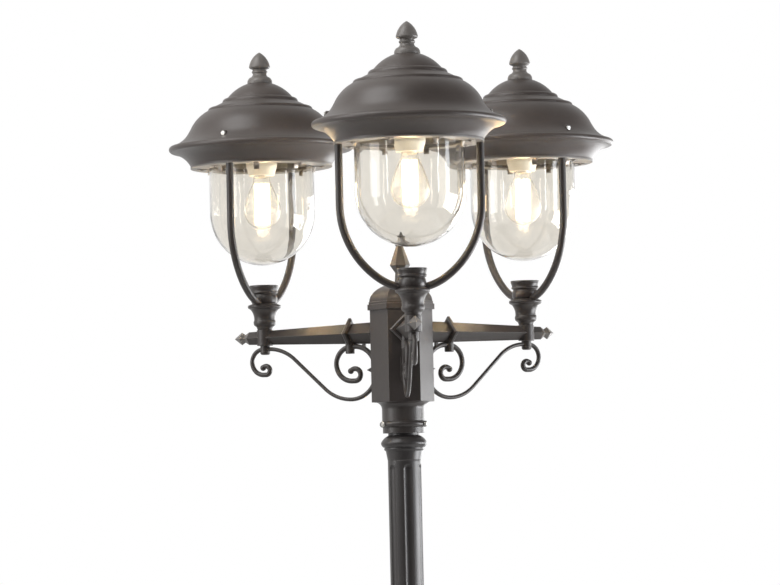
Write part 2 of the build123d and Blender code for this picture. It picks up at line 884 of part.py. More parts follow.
# ------------------------------------------------------------------ scroll braces
scroll_plane = section_plane(arm_level)
inner_turn_low = inner_top_level - 2 * inner_turn_radius
inner_curl_middle = inner_turn_low + inner_curl_radius
inner_shoulder_middle = inner_top_level - inner_shoulder_radius
with BuildLine(scroll_plane) as inner_scroll:
    CenterArc((inner_curl_reach, inner_shoulder_middle), inner_shoulder_radius, 180, -90)
    Line((inner_curl_reach, inner_top_level), (inner_turn_reach, inner_top_level))
    CenterArc((inner_turn_reach, inner_turn_low + inner_turn_radius), inner_turn_radius, 90, -180)
    Line((inner_turn_reach, inner_turn_low), (inner_curl_reach, inner_turn_low))
    CenterArc((inner_curl_reach, inner_curl_middle), inner_curl_radius, -90, -180 - curl_overturn)

# The outer brace runs from the hub down round the belly, up the sway and over the outer curl.
outer_turn_low = outer_top_level - 2 * outer_turn_radius
outer_curl_middle = outer_turn_low + outer_curl_radius
belly_middle = (belly_reach, belly_level + belly_radius)
hip_middle = (
    belly_reach - (belly_radius - hip_radius) * sin(radians(belly_turn)),
    belly_level + belly_radius - (belly_radius - hip_radius) * cos(radians(belly_turn)),
)
sway_run = outer_top_reach - belly_reach
sway_rise = outer_top_level - belly_level
sway_radius = (sway_run**2 + sway_rise**2 - sway_straight**2) / (4 * sway_rise)
sway_low_middle = (belly_reach, belly_level + sway_radius)
sway_high_middle = (outer_top_reach, outer_top_level - sway_radius)
sway_climb = sway_high_middle[1] - sway_low_middle[1]
sway_span = hypot(sway_run, sway_climb)
sway_angle = degrees(asin(2 * sway_radius / sway_span) + atan2(sway_climb, sway_run))
sway_sine = sin(radians(sway_angle))
sway_cosine = cos(radians(sway_angle))
sway_low_end = (
    sway_low_middle[0] + sway_radius * sway_sine,
    sway_low_middle[1] - sway_radius * sway_cosine,
)
sway_high_end = (
    sway_high_middle[0] - sway_radius * sway_sine,
    sway_high_middle[1] + sway_radius * sway_cosine,
)
with BuildLine(scroll_plane) as outer_scroll:
    CenterArc(hip_middle, hip_radius, 180, 90 - belly_turn)
    CenterArc(belly_middle, belly_radius, 270 - belly_turn, belly_turn)
    CenterArc(sway_low_middle, sway_radius, -90, sway_angle)
    Line(sway_low_end, sway_high_end)
    CenterArc(sway_high_middle, sway_radius, 90 + sway_angle, -sway_angle)
    Line((outer_top_reach, outer_top_level), (outer_turn_reach, outer_top_level))
    CenterArc((outer_turn_reach, outer_turn_low + outer_turn_radius), outer_turn_radius, 90, -180)
    Line((outer_turn_reach, outer_turn_low), (outer_curl_reach, outer_turn_low))
    CenterArc((outer_curl_reach, outer_curl_middle), outer_curl_radius, -90, -180 - curl_overturn)

inner_stations = ((0, scroll_rod_radius),)
outer_stations = (
    (0, scroll_rod_radius),
    (scroll_thin_start, scroll_thin_radius),
    (scroll_thin_end, scroll_thin_radius),
    (1, scroll_rod_radius),
)
tie_base_level = inner_top_level - scroll_rod_radius
eye_top = arm_level - boss_half_height
with BuildPart() as scroll:
    add(rod_along(inner_scroll.wire(), inner_stations))
    add(rod_along(outer_scroll.wire(), outer_stations))
    for curl in (inner_scroll.wire() @ 1, outer_scroll.wire() @ 1):
        with Locations(curl):
            Sphere(curl_ball_radius)
    with BuildSketch(scroll_plane):
        with Locations((hub_apothem, scroll_pad_bottom)):
            Rectangle(scroll_pad_thickness, scroll_pad_top - scroll_pad_bottom,
                      align=(Align.MIN, Align.MIN))
    extrude(amount=scroll_pad_width / 2, both=True)
    with BuildSketch(scroll_plane):
        with BuildLine():
            Polyline(
                (hub_apothem, cusp_level - cusp_height / 2),
                (cusp_reach, cusp_level),
                (hub_apothem, cusp_level + cusp_height / 2),
                close=True,
            )
        make_face()
    extrude(amount=cusp_thickness / 2, both=True)
    with BuildSketch(Plane(origin=(tie_reach, 0, arm_level + tie_base_level))):
        Rectangle(tie_width, tie_width)
    extrude(amount=-tie_base_level - arm_half(tie_reach) - seat_clearance)
    with BuildSketch(Plane(origin=(lantern_reach, 0, eye_top))):
        Circle(eye_radius)
    extrude(amount=-eye_height)
    with BuildSketch(Plane(origin=(lantern_reach, 0, eye_top))):
        Circle(stem_radius + seat_clearance)
    extrude(amount=-eye_height, mode=Mode.SUBTRACT)
write_around(scroll, "scroll")

# ------------------------------------------------------------------ clamp bands
clamp_inner_reach = clamp_reach - clamp_width / 2
clamp_outer_reach = clamp_reach + clamp_width / 2
lug_base = arm_level - arm_half(clamp_reach) - lug_depth
with BuildPart() as arm_clamp:
    with BuildSketch(across_arm(clamp_inner_reach)):
        diamond(arm_half(clamp_reach) + clamp_rise)
    extrude(amount=clamp_width)
    clamp_sides = arm_clamp.faces().sort_by(Axis.X)
    chamfer(clamp_sides[0].edges() + clamp_sides[-1].edges(), clamp_chamfer)
    with BuildSketch(Plane(origin=(clamp_reach, 0, lug_base))):
        Circle(lug_radius)
    extrude(amount=lug_depth + lug_radius)
    fillet(arm_clamp.edges().filter_by(GeomType.CIRCLE).sort_by(Axis.Z)[0], lug_fillet)
    add(arm_taper(clamp_inner_reach - clamp_width, clamp_outer_reach + clamp_width,
                  seat_clearance * sqrt(2)), mode=Mode.SUBTRACT)
    add(rod_along(inner_scroll.wire(), inner_stations, seat_clearance), mode=Mode.SUBTRACT)
group_around(arm_clamp, "arm_clamps")

# ------------------------------------------------------------------ stems
stem_head_top = eye_top - eye_height
stem_top = arm_level + yoke_bottom_level - yoke_tube_radius - seat_clearance
with BuildPart() as stem:
    with BuildSketch(Plane(origin=(lantern_reach, 0, stem_head_top))):
        Circle(stem_radius)
    extrude(amount=stem_top - stem_head_top)
    with BuildSketch(Plane(origin=(lantern_reach, 0, stem_head_top))):
        Circle(stem_head_radius)
    extrude(amount=-stem_head_height)
    fillet(stem.edges().filter_by(GeomType.CIRCLE).sort_by(Axis.Z)[0], stem_head_fillet)
    with BuildSketch(Plane(origin=(lantern_reach, 0, stem_head_top))):
        Circle(stem_bore_radius)
    extrude(amount=stem_top - stem_head_top, mode=Mode.SUBTRACT)
    with BuildSketch(across_arm(lantern_reach)):
        Circle(lead_hole_radius)
    extrude(amount=-stem_radius - stem_bore_radius, mode=Mode.SUBTRACT)
group_around(stem, "arm_stems")

# ------------------------------------------------------------------ yokes
yoke_plane = Plane(origin=(lantern_reach, 0, arm_level), x_dir=(0, 1, 0), z_dir=(1, 0, 0))
yoke_top = gallery_level - gallery_thickness
yoke_bend_level = yoke_top - yoke_leg_length
yoke_bottom_middle = yoke_bottom_level + yoke_bottom_radius
yoke_middle_drop = yoke_bend_level - yoke_bottom_middle
yoke_side_radius = (
    (yoke_half_width**2 + yoke_middle_drop**2 - yoke_bottom_radius**2)
    / (2 * (yoke_half_width - yoke_bottom_radius))
)
yoke_side_middle = yoke_half_width - yoke_side_radius
yoke_side_angle = degrees(atan2(yoke_middle_drop, -yoke_side_middle))
with BuildLine(yoke_plane) as yoke_route:
    Line((yoke_half_width, yoke_top), (yoke_half_width, yoke_bend_level))
    CenterArc((yoke_side_middle, yoke_bend_level), yoke_side_radius, 0, -yoke_side_angle)
    CenterArc((0, yoke_bottom_middle), yoke_bottom_radius, -yoke_side_angle, 2 * yoke_side_angle - 180)
    CenterArc((-yoke_side_middle, yoke_bend_level), yoke_side_radius, 180 + yoke_side_angle,
              -yoke_side_angle)
    Line((-yoke_half_width, yoke_bend_level), (-yoke_half_width, yoke_top))

with BuildPart() as yoke:
    add(tube_along(yoke_route.wire(), yoke_tube_radius, yoke_bore_radius))
    with BuildSketch(Plane(origin=(lantern_reach, 0, arm_level + yoke_bottom_level))):
        Circle(stem_bore_radius)
    extrude(amount=-2 * yoke_tube_radius, mode=Mode.SUBTRACT)
write_around(yoke, "yoke")

# ------------------------------------------------------------------ cups
cup_base = boss_half_height
cup_bead_low = cup_bead_level - cup_bead_half_height
cup_bead_high = cup_bead_level + cup_bead_half_height
cup_flange_high = cup_flange_level + cup_flange_half_height
with BuildPart() as cup:
    with BuildSketch(section_plane(arm_level, lantern_reach)):
        with BuildLine():
            turned_line((
                (stem_radius + thread_clearance, cup_base),
                (cup_foot_radius, cup_base, 0),
                (cup_throat_radius, cup_base + cup_foot_rise, 0),
                (cup_body_radius, cup_bead_low, 0),
                (cup_body_radius, cup_bead_high, cup_body_radius - cup_bead_radius),
                (cup_neck_radius, cup_flange_level - cup_flange_drop, cup_body_hollow),
                (cup_flange_radius, cup_flange_level - cup_flange_half_height, 0),
                (cup_flange_radius, cup_flange_high, -cup_flange_bulge),
                (cup_groove_radius, cup_flange_high + cup_groove_height, 0),
                (cup_ring_radius, cup_ring_low, 0),
                (cup_ring_radius, cup_ring_high, -cup_ring_bulge),
                (cup_groove_radius, cup_ring_high + cup_groove_height, 0),
                (cup_lip_radius, cup_lip_level, 0),
                (cup_lip_radius, cup_lip_level + cup_lip_height, 0),
                (cup_rim_waist_radius, cup_lip_level + 2 * cup_lip_height, 0),
                (cup_top_radius, cup_top_level - cup_rim_height, cup_rim_hollow),
                (cup_top_radius, cup_top_level, 0),
                (0, cup_top_level, 0),
                (0, yoke_bottom_level, 0),
                (stem_radius + thread_clearance, yoke_bottom_level, 0),
                (stem_radius + thread_clearance, cup_base, 0),
            ))
        make_face()
    revolve(axis=lantern_axis)
    add(tube_along(yoke_route.wire(), yoke_tube_radius + seat_clearance), mode=Mode.SUBTRACT)
write_around(cup, "cup")

# ------------------------------------------------------------------ leads in the arms
# Each lead leaves the terminal block along the arm, turns up the stem and into one leg of the yoke.
lead_turn_level = yoke_bottom_middle - sqrt(
    (yoke_bottom_radius + lead_bend_radius) ** 2 - lead_bend_radius**2
)
lead_join_share = yoke_bottom_radius / (yoke_bottom_radius + lead_bend_radius)
lead_join_reach = lead_bend_radius * lead_join_share
lead_join_level = yoke_bottom_middle - (yoke_bottom_middle - lead_turn_level) * lead_join_share
lead_join_angle = degrees(atan2(lead_join_level - yoke_bottom_middle, lead_join_reach))
with BuildLine(scroll_plane) as lead_in_arm:
    Line((terminal_inradius, 0), (lantern_reach - lead_bend_radius, 0))
    CenterArc((lantern_reach - lead_bend_radius, lead_bend_radius), lead_bend_radius, -90, 90)
    Line((lantern_reach, lead_bend_radius), (lantern_reach, lead_turn_level))
with BuildLine(yoke_plane) as lead_in_yoke:
    CenterArc((lead_bend_radius, lead_turn_level), lead_bend_radius, 180,
              lead_join_angle)
    CenterArc((0, yoke_bottom_middle), yoke_bottom_radius, lead_join_angle,
              -yoke_side_angle - lead_join_angle)
    CenterArc((yoke_side_middle, yoke_bend_level), yoke_side_radius, -yoke_side_angle,
              yoke_side_angle)
    Line((yoke_half_width, yoke_bend_level), (yoke_half_width, yoke_top))
with BuildPart() as lamp_lead:
    add(tube_along(lead_in_arm.wire(), lead_radius))
    add(tube_along(lead_in_yoke.wire(), lead_radius))
group_around(lamp_lead, "lamp_leads")

# ------------------------------------------------------------------ galleries
gallery_top = arm_level + gallery_level
screw_level = hood_level + hood_screw_height
lug_plate_reach = gallery_rim_radius - gallery_rim_wall / 2
with BuildPart() as gallery_ring:
    with BuildSketch(Plane(origin=(lantern_reach, 0, gallery_top))):
        Circle(hood_band_radius)
        Circle(bowl_hole_radius, mode=Mode.SUBTRACT)
    extrude(amount=-gallery_thickness)
    with BuildSketch(Plane(origin=(lantern_reach, 0, gallery_top))):
        Circle(gallery_rim_radius)
        Circle(gallery_rim_radius - gallery_rim_wall, mode=Mode.SUBTRACT)
    extrude(amount=gallery_rim_height)
    with BuildSketch(Plane(origin=(lantern_reach, 0, gallery_top))):
        with Locations((0, lug_plate_reach), (0, -lug_plate_reach)):
            Rectangle(lug_plate_width, lug_plate_wall, align=(Align.CENTER, Align.CENTER))
        Circle(gallery_rim_radius, mode=Mode.INTERSECT)
    extrude(amount=lug_plate_height)
    with BuildSketch(Plane(origin=(lantern_reach, gallery_rim_radius, screw_level), x_dir=(1, 0, 0),
                           z_dir=(0, -1, 0))):
        Circle(lug_slot_width / 2)
        Rectangle(lug_slot_width, lug_plate_height, align=(Align.CENTER, Align.MIN))
    extrude(amount=2 * gallery_rim_radius, mode=Mode.SUBTRACT)
write_around(gallery_ring, "gallery_ring")

# ------------------------------------------------------------------ bowls
bowl_bottom_level = gallery_level - bowl_depth
bowl_middle_level = bowl_bottom_level + bowl_radius
bowl_inner_radius = bowl_radius - bowl_wall
with BuildPart() as bowl:
    with BuildSketch(section_plane(arm_level, lantern_reach)):
        with BuildLine():
            CenterArc((0, bowl_middle_level), bowl_radius, -90, 90)
            Polyline(
                (bowl_radius, bowl_middle_level),
                (bowl_radius, gallery_level),
                (bowl_flange_radius, gallery_level),
                (bowl_flange_radius, gallery_level + bowl_flange_height),
                (bowl_inner_radius, gallery_level + bowl_flange_height),
                (bowl_inner_radius, bowl_middle_level),
            )
            CenterArc((0, bowl_middle_level), bowl_inner_radius, 0, -90)
            Line((0, bowl_middle_level - bowl_inner_radius), (0, bowl_bottom_level))
        make_face()
    revolve(axis=lantern_axis)
write_around(bowl, "bowl")

# ------------------------------------------------------------------ hoods
crown_hole_radius = holder_tube_radius + thread_clearance
hood_slope_wall = hood_wall * sqrt(2)
with BuildPart() as hood:
    with BuildSketch(section_plane(hood_level, lantern_reach)):
        with BuildLine():
            turned_line((
                (crown_hole_radius, hood_crown_height - hood_crown_plate),
                (crown_hole_radius, hood_crown_height, 0),
                (hood_crown_radius, hood_crown_height, 0),
                (hood_dome_radius, hood_dome_height, hood_dome_bulge),
                (hood_bead_radius, hood_bead_height, hood_bead_bulge),
                (hood_step_radius, hood_step_height, 0),
                (hood_shoulder_radius, hood_shoulder_height, hood_step_bulge),
                (hood_shoulder_foot_radius, hood_shoulder_foot_height, hood_shoulder_bulge),
                (hood_waist_radius, hood_waist_height, 0),
                (hood_rim_radius, hood_rim_half_height, -hood_flare_hollow),
                (hood_rim_radius, -hood_rim_half_height, hood_rim_bulge),
                (hood_band_radius, -hood_band_drop + hood_band_height, -hood_cavetto_hollow),
                (hood_band_radius, -hood_band_drop, 0),
                (hood_band_radius - hood_wall, -hood_band_drop, 0),
                (hood_band_radius - hood_wall, -hood_band_drop + hood_band_height + hood_wall, 0),
                (hood_rim_radius - hood_slope_wall, -hood_rim_pocket, hood_cavetto_hollow),
                (hood_rim_radius - hood_slope_wall, hood_rim_pocket, 0),
                (hood_waist_radius - hood_slope_wall, hood_waist_height, hood_flare_hollow),
                (hood_shoulder_foot_radius - hood_wall, hood_shoulder_foot_height, 0),
                (hood_shoulder_radius, hood_shoulder_height - hood_slope_wall, -hood_shoulder_bulge),
                (hood_bead_radius, hood_bead_height - hood_slope_wall, 0),
                (hood_dome_radius, hood_dome_height - 2 * hood_slope_wall, 0),
                (hood_crown_radius, hood_crown_height - hood_crown_plate, -hood_dome_bulge),
                (crown_hole_radius, hood_crown_height - hood_crown_plate, 0),
            ))
        make_face()
    revolve(axis=lantern_axis)
    for side in (1, -1):
        with BuildSketch(Plane(origin=(lantern_reach, side * hood_boss_inner_reach, screw_level),
                               x_dir=(1, 0, 0), z_dir=(0, side, 0))):
            Circle(hood_boss_radius)
        extrude(amount=hood_boss_outer_reach - hood_boss_inner_reach)
        with BuildSketch(Plane(origin=(lantern_reach, side * hood_boss_outer_reach, screw_level),
                               x_dir=(1, 0, 0), z_dir=(0, side, 0))):
            Circle(hood_screw_head_radius + seat_clearance)
        extrude(amount=hood_rim_radius - hood_boss_outer_reach, mode=Mode.SUBTRACT)
        with BuildSketch(Plane(origin=(lantern_reach, side * hood_boss_inner_reach, screw_level),
                               x_dir=(1, 0, 0), z_dir=(0, side, 0))):
            Circle(hood_screw_radius + thread_clearance)
        extrude(amount=hood_boss_outer_reach - hood_boss_inner_reach, mode=Mode.SUBTRACT)
write_around(hood, "hood")

# ------------------------------------------------------------------ hood screws
with BuildPart() as hood_screw_pair:
    for side in (1, -1):
        with BuildSketch(Plane(origin=(lantern_reach, side * hood_screw_tip_reach, screw_level),
                               x_dir=(1, 0, 0), z_dir=(0, side, 0))):
            Circle(hood_screw_radius)
        extrude(amount=hood_boss_outer_reach - hood_screw_tip_reach)
        with BuildSketch(Plane(origin=(lantern_reach, side * hood_boss_outer_reach, screw_level),
                               x_dir=(1, 0, 0), z_dir=(0, side, 0))):
            Circle(hood_screw_head_radius)
        extrude(amount=hood_screw_head_height)
    fillet(hood_screw_pair.edges().filter_by(GeomType.CIRCLE).group_by(Axis.Y)[0], hood_screw_head_fillet)
    fillet(hood_screw_pair.edges().filter_by(GeomType.CIRCLE).group_by(Axis.Y)[-1], hood_screw_head_fillet)
write_around(hood_screw_pair, "hood_screws")

# ------------------------------------------------------------------ hood finials
finial_ring_low = finial_ring_height - finial_ring_half_height
finial_ring_high = finial_ring_height + finial_ring_half_height
with BuildPart() as hood_finial:
    with BuildSketch(section_plane(crown_level, lantern_reach)):
        with BuildLine():
            turned_line((
                (crown_hole_radius, 0),
                (finial_foot_radius, 0, 0),
                (finial_foot_radius, finial_foot_height, 0),
                (finial_flare_radius, finial_flare_height, -finial_foot_bulge),
                (finial_groove_radius, finial_groove_height, finial_foot_bulge),
                (finial_throat_radius, finial_ring_low, 0),
                (finial_throat_radius, finial_ring_high, finial_throat_radius - finial_ring_radius),
                (finial_throat_radius, acorn_foot_height, 0),
                (acorn_radius, acorn_widest_height, -finial_foot_bulge),
                (acorn_point_radius, acorn_height, -acorn_bulge),
                (0, acorn_height, 0),
                (0, finial_socket_depth, 0),
                (crown_hole_radius, finial_socket_depth, 0),
                (crown_hole_radius, 0, 0),
            ))
        make_face()
    revolve(axis=lantern_axis)
write_around(hood_finial, "hood_finial")

# ------------------------------------------------------------------ lampholders
holder_base = gallery_level - holder_skirt_drop
bulb_cap_base = gallery_level - bulb_neck_drop
bulb_cap_top = bulb_cap_base + bulb_cap_length
holder_roof = bulb_cap_top + bulb_contact_length + bulb_contact_clearance
holder_top = holder_base + holder_top_height
with BuildPart() as lampholder:
    with BuildSketch(section_plane(arm_level, lantern_reach)):
        with BuildLine():
            Polyline(
                (bulb_cap_radius + bulb_clearance, holder_base),
                (holder_mouth_radius, holder_base),
                (holder_skirt_radius, gallery_level),
                (holder_skirt_radius, holder_base + holder_skirt_height),
                (holder_shoulder_radius, holder_base + holder_shoulder_height),
                (holder_top_radius, holder_top),
                (crown_hole_radius, holder_top),
                (crown_hole_radius, holder_top - holder_socket_depth),
                (holder_tube_bore_radius, holder_top - holder_socket_depth),
                (holder_tube_bore_radius, holder_roof),
                (bulb_cap_radius + bulb_clearance, holder_roof),
                (bulb_cap_radius + bulb_clearance, holder_base),
            )
        make_face()
    revolve(axis=lantern_axis)
write_around(lampholder, "lampholder")

# ------------------------------------------------------------------ holder tubes
tube_base = arm_level + holder_top - holder_socket_depth
tube_top = crown_level + finial_socket_depth - thread_clearance
with BuildPart() as holder_tube:
    with BuildSketch(Plane(origin=(lantern_reach, 0, tube_base))):
        Circle(holder_tube_radius)
    extrude(amount=tube_top - tube_base)
    with BuildSketch(Plane(origin=(lantern_reach, 0, crown_level - hood_crown_plate))):
        RegularPolygon(holder_nut_radius, 6)
    extrude(amount=-holder_nut_height)
    with BuildSketch(Plane(origin=(lantern_reach, 0, tube_base))):
        Circle(holder_tube_bore_radius)
    extrude(amount=tube_top - tube_base, mode=Mode.SUBTRACT)
write_around(holder_tube, "holder_tube")

# ------------------------------------------------------------------ bulbs
bulb_bottom = gallery_level - bulb_drop
bulb_middle = bulb_bottom + bulb_radius
bulb_shoulder_level = gallery_level - bulb_shoulder_drop
with BuildPart() as bulb_cap:
    with BuildSketch(section_plane(arm_level, lantern_reach)):
        with BuildLine():
            Polyline(
                (bulb_cap_radius - bulb_cap_wall, bulb_cap_base),
                (bulb_cap_radius, bulb_cap_base),
                (bulb_cap_radius, bulb_cap_top),
                (bulb_contact_radius, bulb_cap_top),
                (bulb_contact_radius, bulb_cap_top + bulb_contact_length),
                (0, bulb_cap_top + bulb_contact_length),
                (0, bulb_cap_top - bulb_cap_wall),
                (bulb_cap_radius - bulb_cap_wall, bulb_cap_top - bulb_cap_wall),
                (bulb_cap_radius - bulb_cap_wall, bulb_cap_base),
            )
        make_face()
    revolve(axis=lantern_axis)
write_around(bulb_cap, "bulb_cap")

# The envelope is a ball up to a little above its middle and then draws in to the cap.
draw_sine = sin(radians(bulb_draw_angle))
draw_cosine = cos(radians(bulb_draw_angle))
bulb_inner_radius = bulb_radius - bulb_glass_wall
with BuildPart() as bulb_glass:
    with BuildSketch(section_plane(arm_level, lantern_reach)):
        with BuildLine():
            CenterArc((0, bulb_middle), bulb_radius, -90, 90 + bulb_draw_angle)
            Spline(
                (bulb_radius * draw_cosine, bulb_middle + bulb_radius * draw_sine),
                (bulb_shoulder_radius, bulb_shoulder_level),
                (bulb_neck_radius, bulb_cap_base),
                tangents=((-draw_sine, draw_cosine), (0, 1)),
            )
            Line((bulb_neck_radius, bulb_cap_base), (bulb_neck_radius - bulb_glass_wall, bulb_cap_base))
            Spline(
                (bulb_inner_radius * draw_cosine, bulb_middle + bulb_inner_radius * draw_sine),
                (bulb_shoulder_radius - bulb_glass_wall, bulb_shoulder_level),
                (bulb_neck_radius - bulb_glass_wall, bulb_cap_base),
                tangents=((-draw_sine, draw_cosine), (0, 1)),
            )
            CenterArc((0, bulb_middle), bulb_inner_radius, bulb_draw_angle, -90 - bulb_draw_angle)
            Line((0, bulb_middle - bulb_inner_radius), (0, bulb_bottom))
        make_face()
    revolve(axis=lantern_axis)
write_around(bulb_glass, "bulb_glass")
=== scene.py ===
"""Looks of a triple head lamp post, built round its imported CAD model.

Z is up and the front arm points along -Y. Places, levels, the floor and the lights are in metres. The other
sizes are in millimetres, and are multiplied by MM where Blender takes them.
"""
from math import acos, atan2, cos, hypot, pi, radians, sin

import bpy
from mathutils import Matrix, Vector


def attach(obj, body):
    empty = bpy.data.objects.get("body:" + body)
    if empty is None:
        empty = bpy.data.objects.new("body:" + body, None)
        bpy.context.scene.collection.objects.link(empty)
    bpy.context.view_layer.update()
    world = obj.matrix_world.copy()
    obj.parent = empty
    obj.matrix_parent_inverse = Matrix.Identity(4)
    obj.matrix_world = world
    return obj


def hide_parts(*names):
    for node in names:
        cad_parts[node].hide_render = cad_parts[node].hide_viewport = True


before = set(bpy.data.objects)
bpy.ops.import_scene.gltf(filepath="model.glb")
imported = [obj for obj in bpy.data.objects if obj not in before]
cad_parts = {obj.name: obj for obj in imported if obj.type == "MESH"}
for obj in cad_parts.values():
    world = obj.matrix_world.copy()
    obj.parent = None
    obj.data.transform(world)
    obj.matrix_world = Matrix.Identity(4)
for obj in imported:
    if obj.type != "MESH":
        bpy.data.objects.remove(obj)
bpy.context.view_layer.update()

MM = 0.001
ARMS = {"front": -90, "right": 30, "left": 150}  # degrees from +X
LANTERN_REACH = 246 * MM
ARM_LEVEL = 1737 * MM
GALLERY_ABOVE_ARM = 279
HOOD_ABOVE_GALLERY = 29.5
CROWN_ABOVE_HOOD = 106
GALLERY_LEVEL = ARM_LEVEL + GALLERY_ABOVE_ARM * MM
HOOD_LEVEL = GALLERY_LEVEL + HOOD_ABOVE_GALLERY * MM
CROWN_LEVEL = HOOD_LEVEL + CROWN_ABOVE_HOOD * MM

# ------------------------------------------------------------------ camera
CAMERA_PLACE = (-0.4499, -5.9798, 1.4476)
CAMERA_PITCH = 3.363
CAMERA_YAW = -4.141
CAMERA_ROLL = -1.293
FRAME_WIDTH_PX = 780
FOCAL_LENGTH_PX = 3765.6
SENSOR_WIDTH_MM = 36
CAMERA_SIGHT = 60


def add_camera():
    """The photograph's viewpoint; yaw, pitch and roll are degrees away from looking level along +Y."""
    data = bpy.data.cameras.new("camera")
    data.sensor_width = SENSOR_WIDTH_MM
    data.lens = FOCAL_LENGTH_PX / FRAME_WIDTH_PX * SENSOR_WIDTH_MM
    data.clip_end = CAMERA_SIGHT
    camera = bpy.data.objects.new("camera", data)
    bpy.context.scene.collection.objects.link(camera)
    yaw = Matrix.Rotation(radians(CAMERA_YAW), 3, "Z")
    pitch = Matrix.Rotation(radians(90 + CAMERA_PITCH), 3, "X")
    roll = Matrix.Rotation(radians(CAMERA_ROLL), 3, "Z")
    camera.location = CAMERA_PLACE
    camera.rotation_mode = "XYZ"
    camera.rotation_euler = (yaw @ pitch @ roll).to_euler()
    bpy.context.scene.camera = camera


add_camera()

# ------------------------------------------------------------------ modelling helpers
POLE_RADIUS = 0.01  # a ring this small stands for a point on the axis
MERGE_DISTANCE = 0.03


def clear_selection():
    if bpy.context.object and bpy.context.object.mode != "OBJECT":
        bpy.ops.object.mode_set(mode="OBJECT")
    bpy.ops.object.select_all(action="DESELECT")


def select_only(piece):
    clear_selection()
    piece.select_set(True)
    bpy.context.view_layer.objects.active = piece


def joined(pieces):
    """Join pieces into the first of them."""
    clear_selection()
    for piece in pieces:
        piece.select_set(True)
    bpy.context.view_layer.objects.active = pieces[0]
    bpy.ops.object.join()
    return pieces[0]


def twin(piece):
    """A copy of a piece with its own mesh."""
    copy = piece.copy()
    copy.data = piece.data.copy()
    bpy.context.scene.collection.objects.link(copy)
    return copy


def bend(start, end, bulge, steps=6):
    """Points of an arc from start to end, without start; a positive bulge lies left of the way."""
    if not bulge:
        return [end]
    (x0, y0), (x1, y1) = start, end
    half = hypot(x1 - x0, y1 - y0) / 2
    radius = (half * half + bulge * bulge) / (2 * abs(bulge))
    side = 1 if bulge > 0 else -1
    nx, ny = -(y1 - y0) / (2 * half), (x1 - x0) / (2 * half)
    depth = side * (radius - abs(bulge))
    cx, cy = (x0 + x1) / 2 - nx * depth, (y0 + y1) / 2 - ny * depth
    a0 = atan2(y0 - cy, x0 - cx)
    sweep = -side * 2 * acos(max(-1, min(1, (radius - abs(bulge)) / radius)))
    return [
        (cx + radius * cos(a0 + sweep * i / steps), cy + radius * sin(a0 + sweep * i / steps))
        for i in range(1, steps + 1)
    ]


def outline(*stations):
    """Points of an outline: each station is a radius, a height and the bulge of the stretch to it."""
    points = [stations[0][:2]]
    for station in stations[1:]:
        points += bend(points[-1], station[:2], station[2] if len(station) > 2 else 0)
    return points


def bake_place(piece):
    """Move a piece's place into its mesh."""
    bpy.context.view_layer.update()
    piece.data.transform(piece.matrix_world)
    piece.matrix_world = Matrix.Identity(4)


def turned(name, points, level, steps):
    """Turn an outline round the upright axis by extruding a circle from ring to ring."""
    clear_selection()
    radius, height = points[0]
    bpy.ops.mesh.primitive_circle_add(
        vertices=steps, radius=max(radius, POLE_RADIUS) * MM, location=(0, 0, level + height * MM)
    )
    piece = bpy.context.object
    piece.name = name
    bpy.ops.object.mode_set(mode="EDIT")
    bpy.ops.mesh.select_all(action="SELECT")
    for (r0, h0), (r1, h1) in zip(points, points[1:]):
        bpy.ops.mesh.extrude_region_move(TRANSFORM_OT_translate={"value": (0, 0, (h1 - h0) * MM)})
        ratio = max(r1, POLE_RADIUS) / max(r0, POLE_RADIUS)
        bpy.ops.transform.resize(value=(ratio, ratio, 1), center_override=(0, 0, level + h1 * MM))
    bpy.ops.mesh.select_all(action="SELECT")
    bpy.ops.mesh.remove_doubles(threshold=MERGE_DISTANCE * MM)
    bpy.ops.mesh.fill_holes(sides=0)
    bpy.ops.mesh.normals_make_consistent(inside=False)
    bpy.ops.object.mode_set(mode="OBJECT")
    bake_place(piece)
    return piece


def smooth(piece, angle=32):
    select_only(piece)
    bpy.ops.object.shade_smooth_by_angle(angle=radians(angle))


def soften(piece, width, angle):
    """Round a piece's edges that turn by more than an angle."""
    select_only(piece)
    rounding = piece.modifiers.new("rounding", "BEVEL")
    rounding.width = width * MM
    rounding.segments = 2
    rounding.limit_method = "ANGLE"
    rounding.angle_limit = radians(angle)
    bpy.ops.object.modifier_apply(modifier=rounding.name)


def set_on_lanterns(master, material, body, replaced=""):
    """Put one copy of a piece on each lantern's axis; {} in a name stands for the arm."""
    for arm, angle in ARMS.items():
        piece = twin(master)
        piece.name = f"{master.name}_{arm}"
        piece.data.name = piece.name
        place = Matrix.Rotation(radians(angle), 4, "Z") @ Matrix.Translation((LANTERN_REACH, 0, 0))
        piece.data.transform(place)
        piece.data.materials.clear()
        piece.data.materials.append(material)
        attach(piece, body.format(arm))
        if replaced:
            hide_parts(replaced.format(arm))
    bpy.data.objects.remove(master)


# ------------------------------------------------------------------ node groups for finishes
def new_group(name, inputs, outputs):
    group = bpy.data.node_groups.new(name, "ShaderNodeTree")
    for label, kind, value in inputs:
        socket = group.interface.new_socket(label, in_out="INPUT", socket_type=kind)
        if value is not None:
            socket.default_value = value
    for label, kind in outputs:
        group.interface.new_socket(label, in_out="OUTPUT", socket_type=kind)
    return group, group.nodes.new("NodeGroupInput"), group.nodes.new("NodeGroupOutput")


def noise(tree, vector, scale, detail=3, roughness=0.55):
    node = tree.nodes.new("ShaderNodeTexNoise")
    node.inputs["Scale"].default_value = scale
    node.inputs["Detail"].default_value = detail
    node.inputs["Roughness"].default_value = roughness
    tree.links.new(vector, node.inputs["Vector"])
    return node.outputs["Fac"]


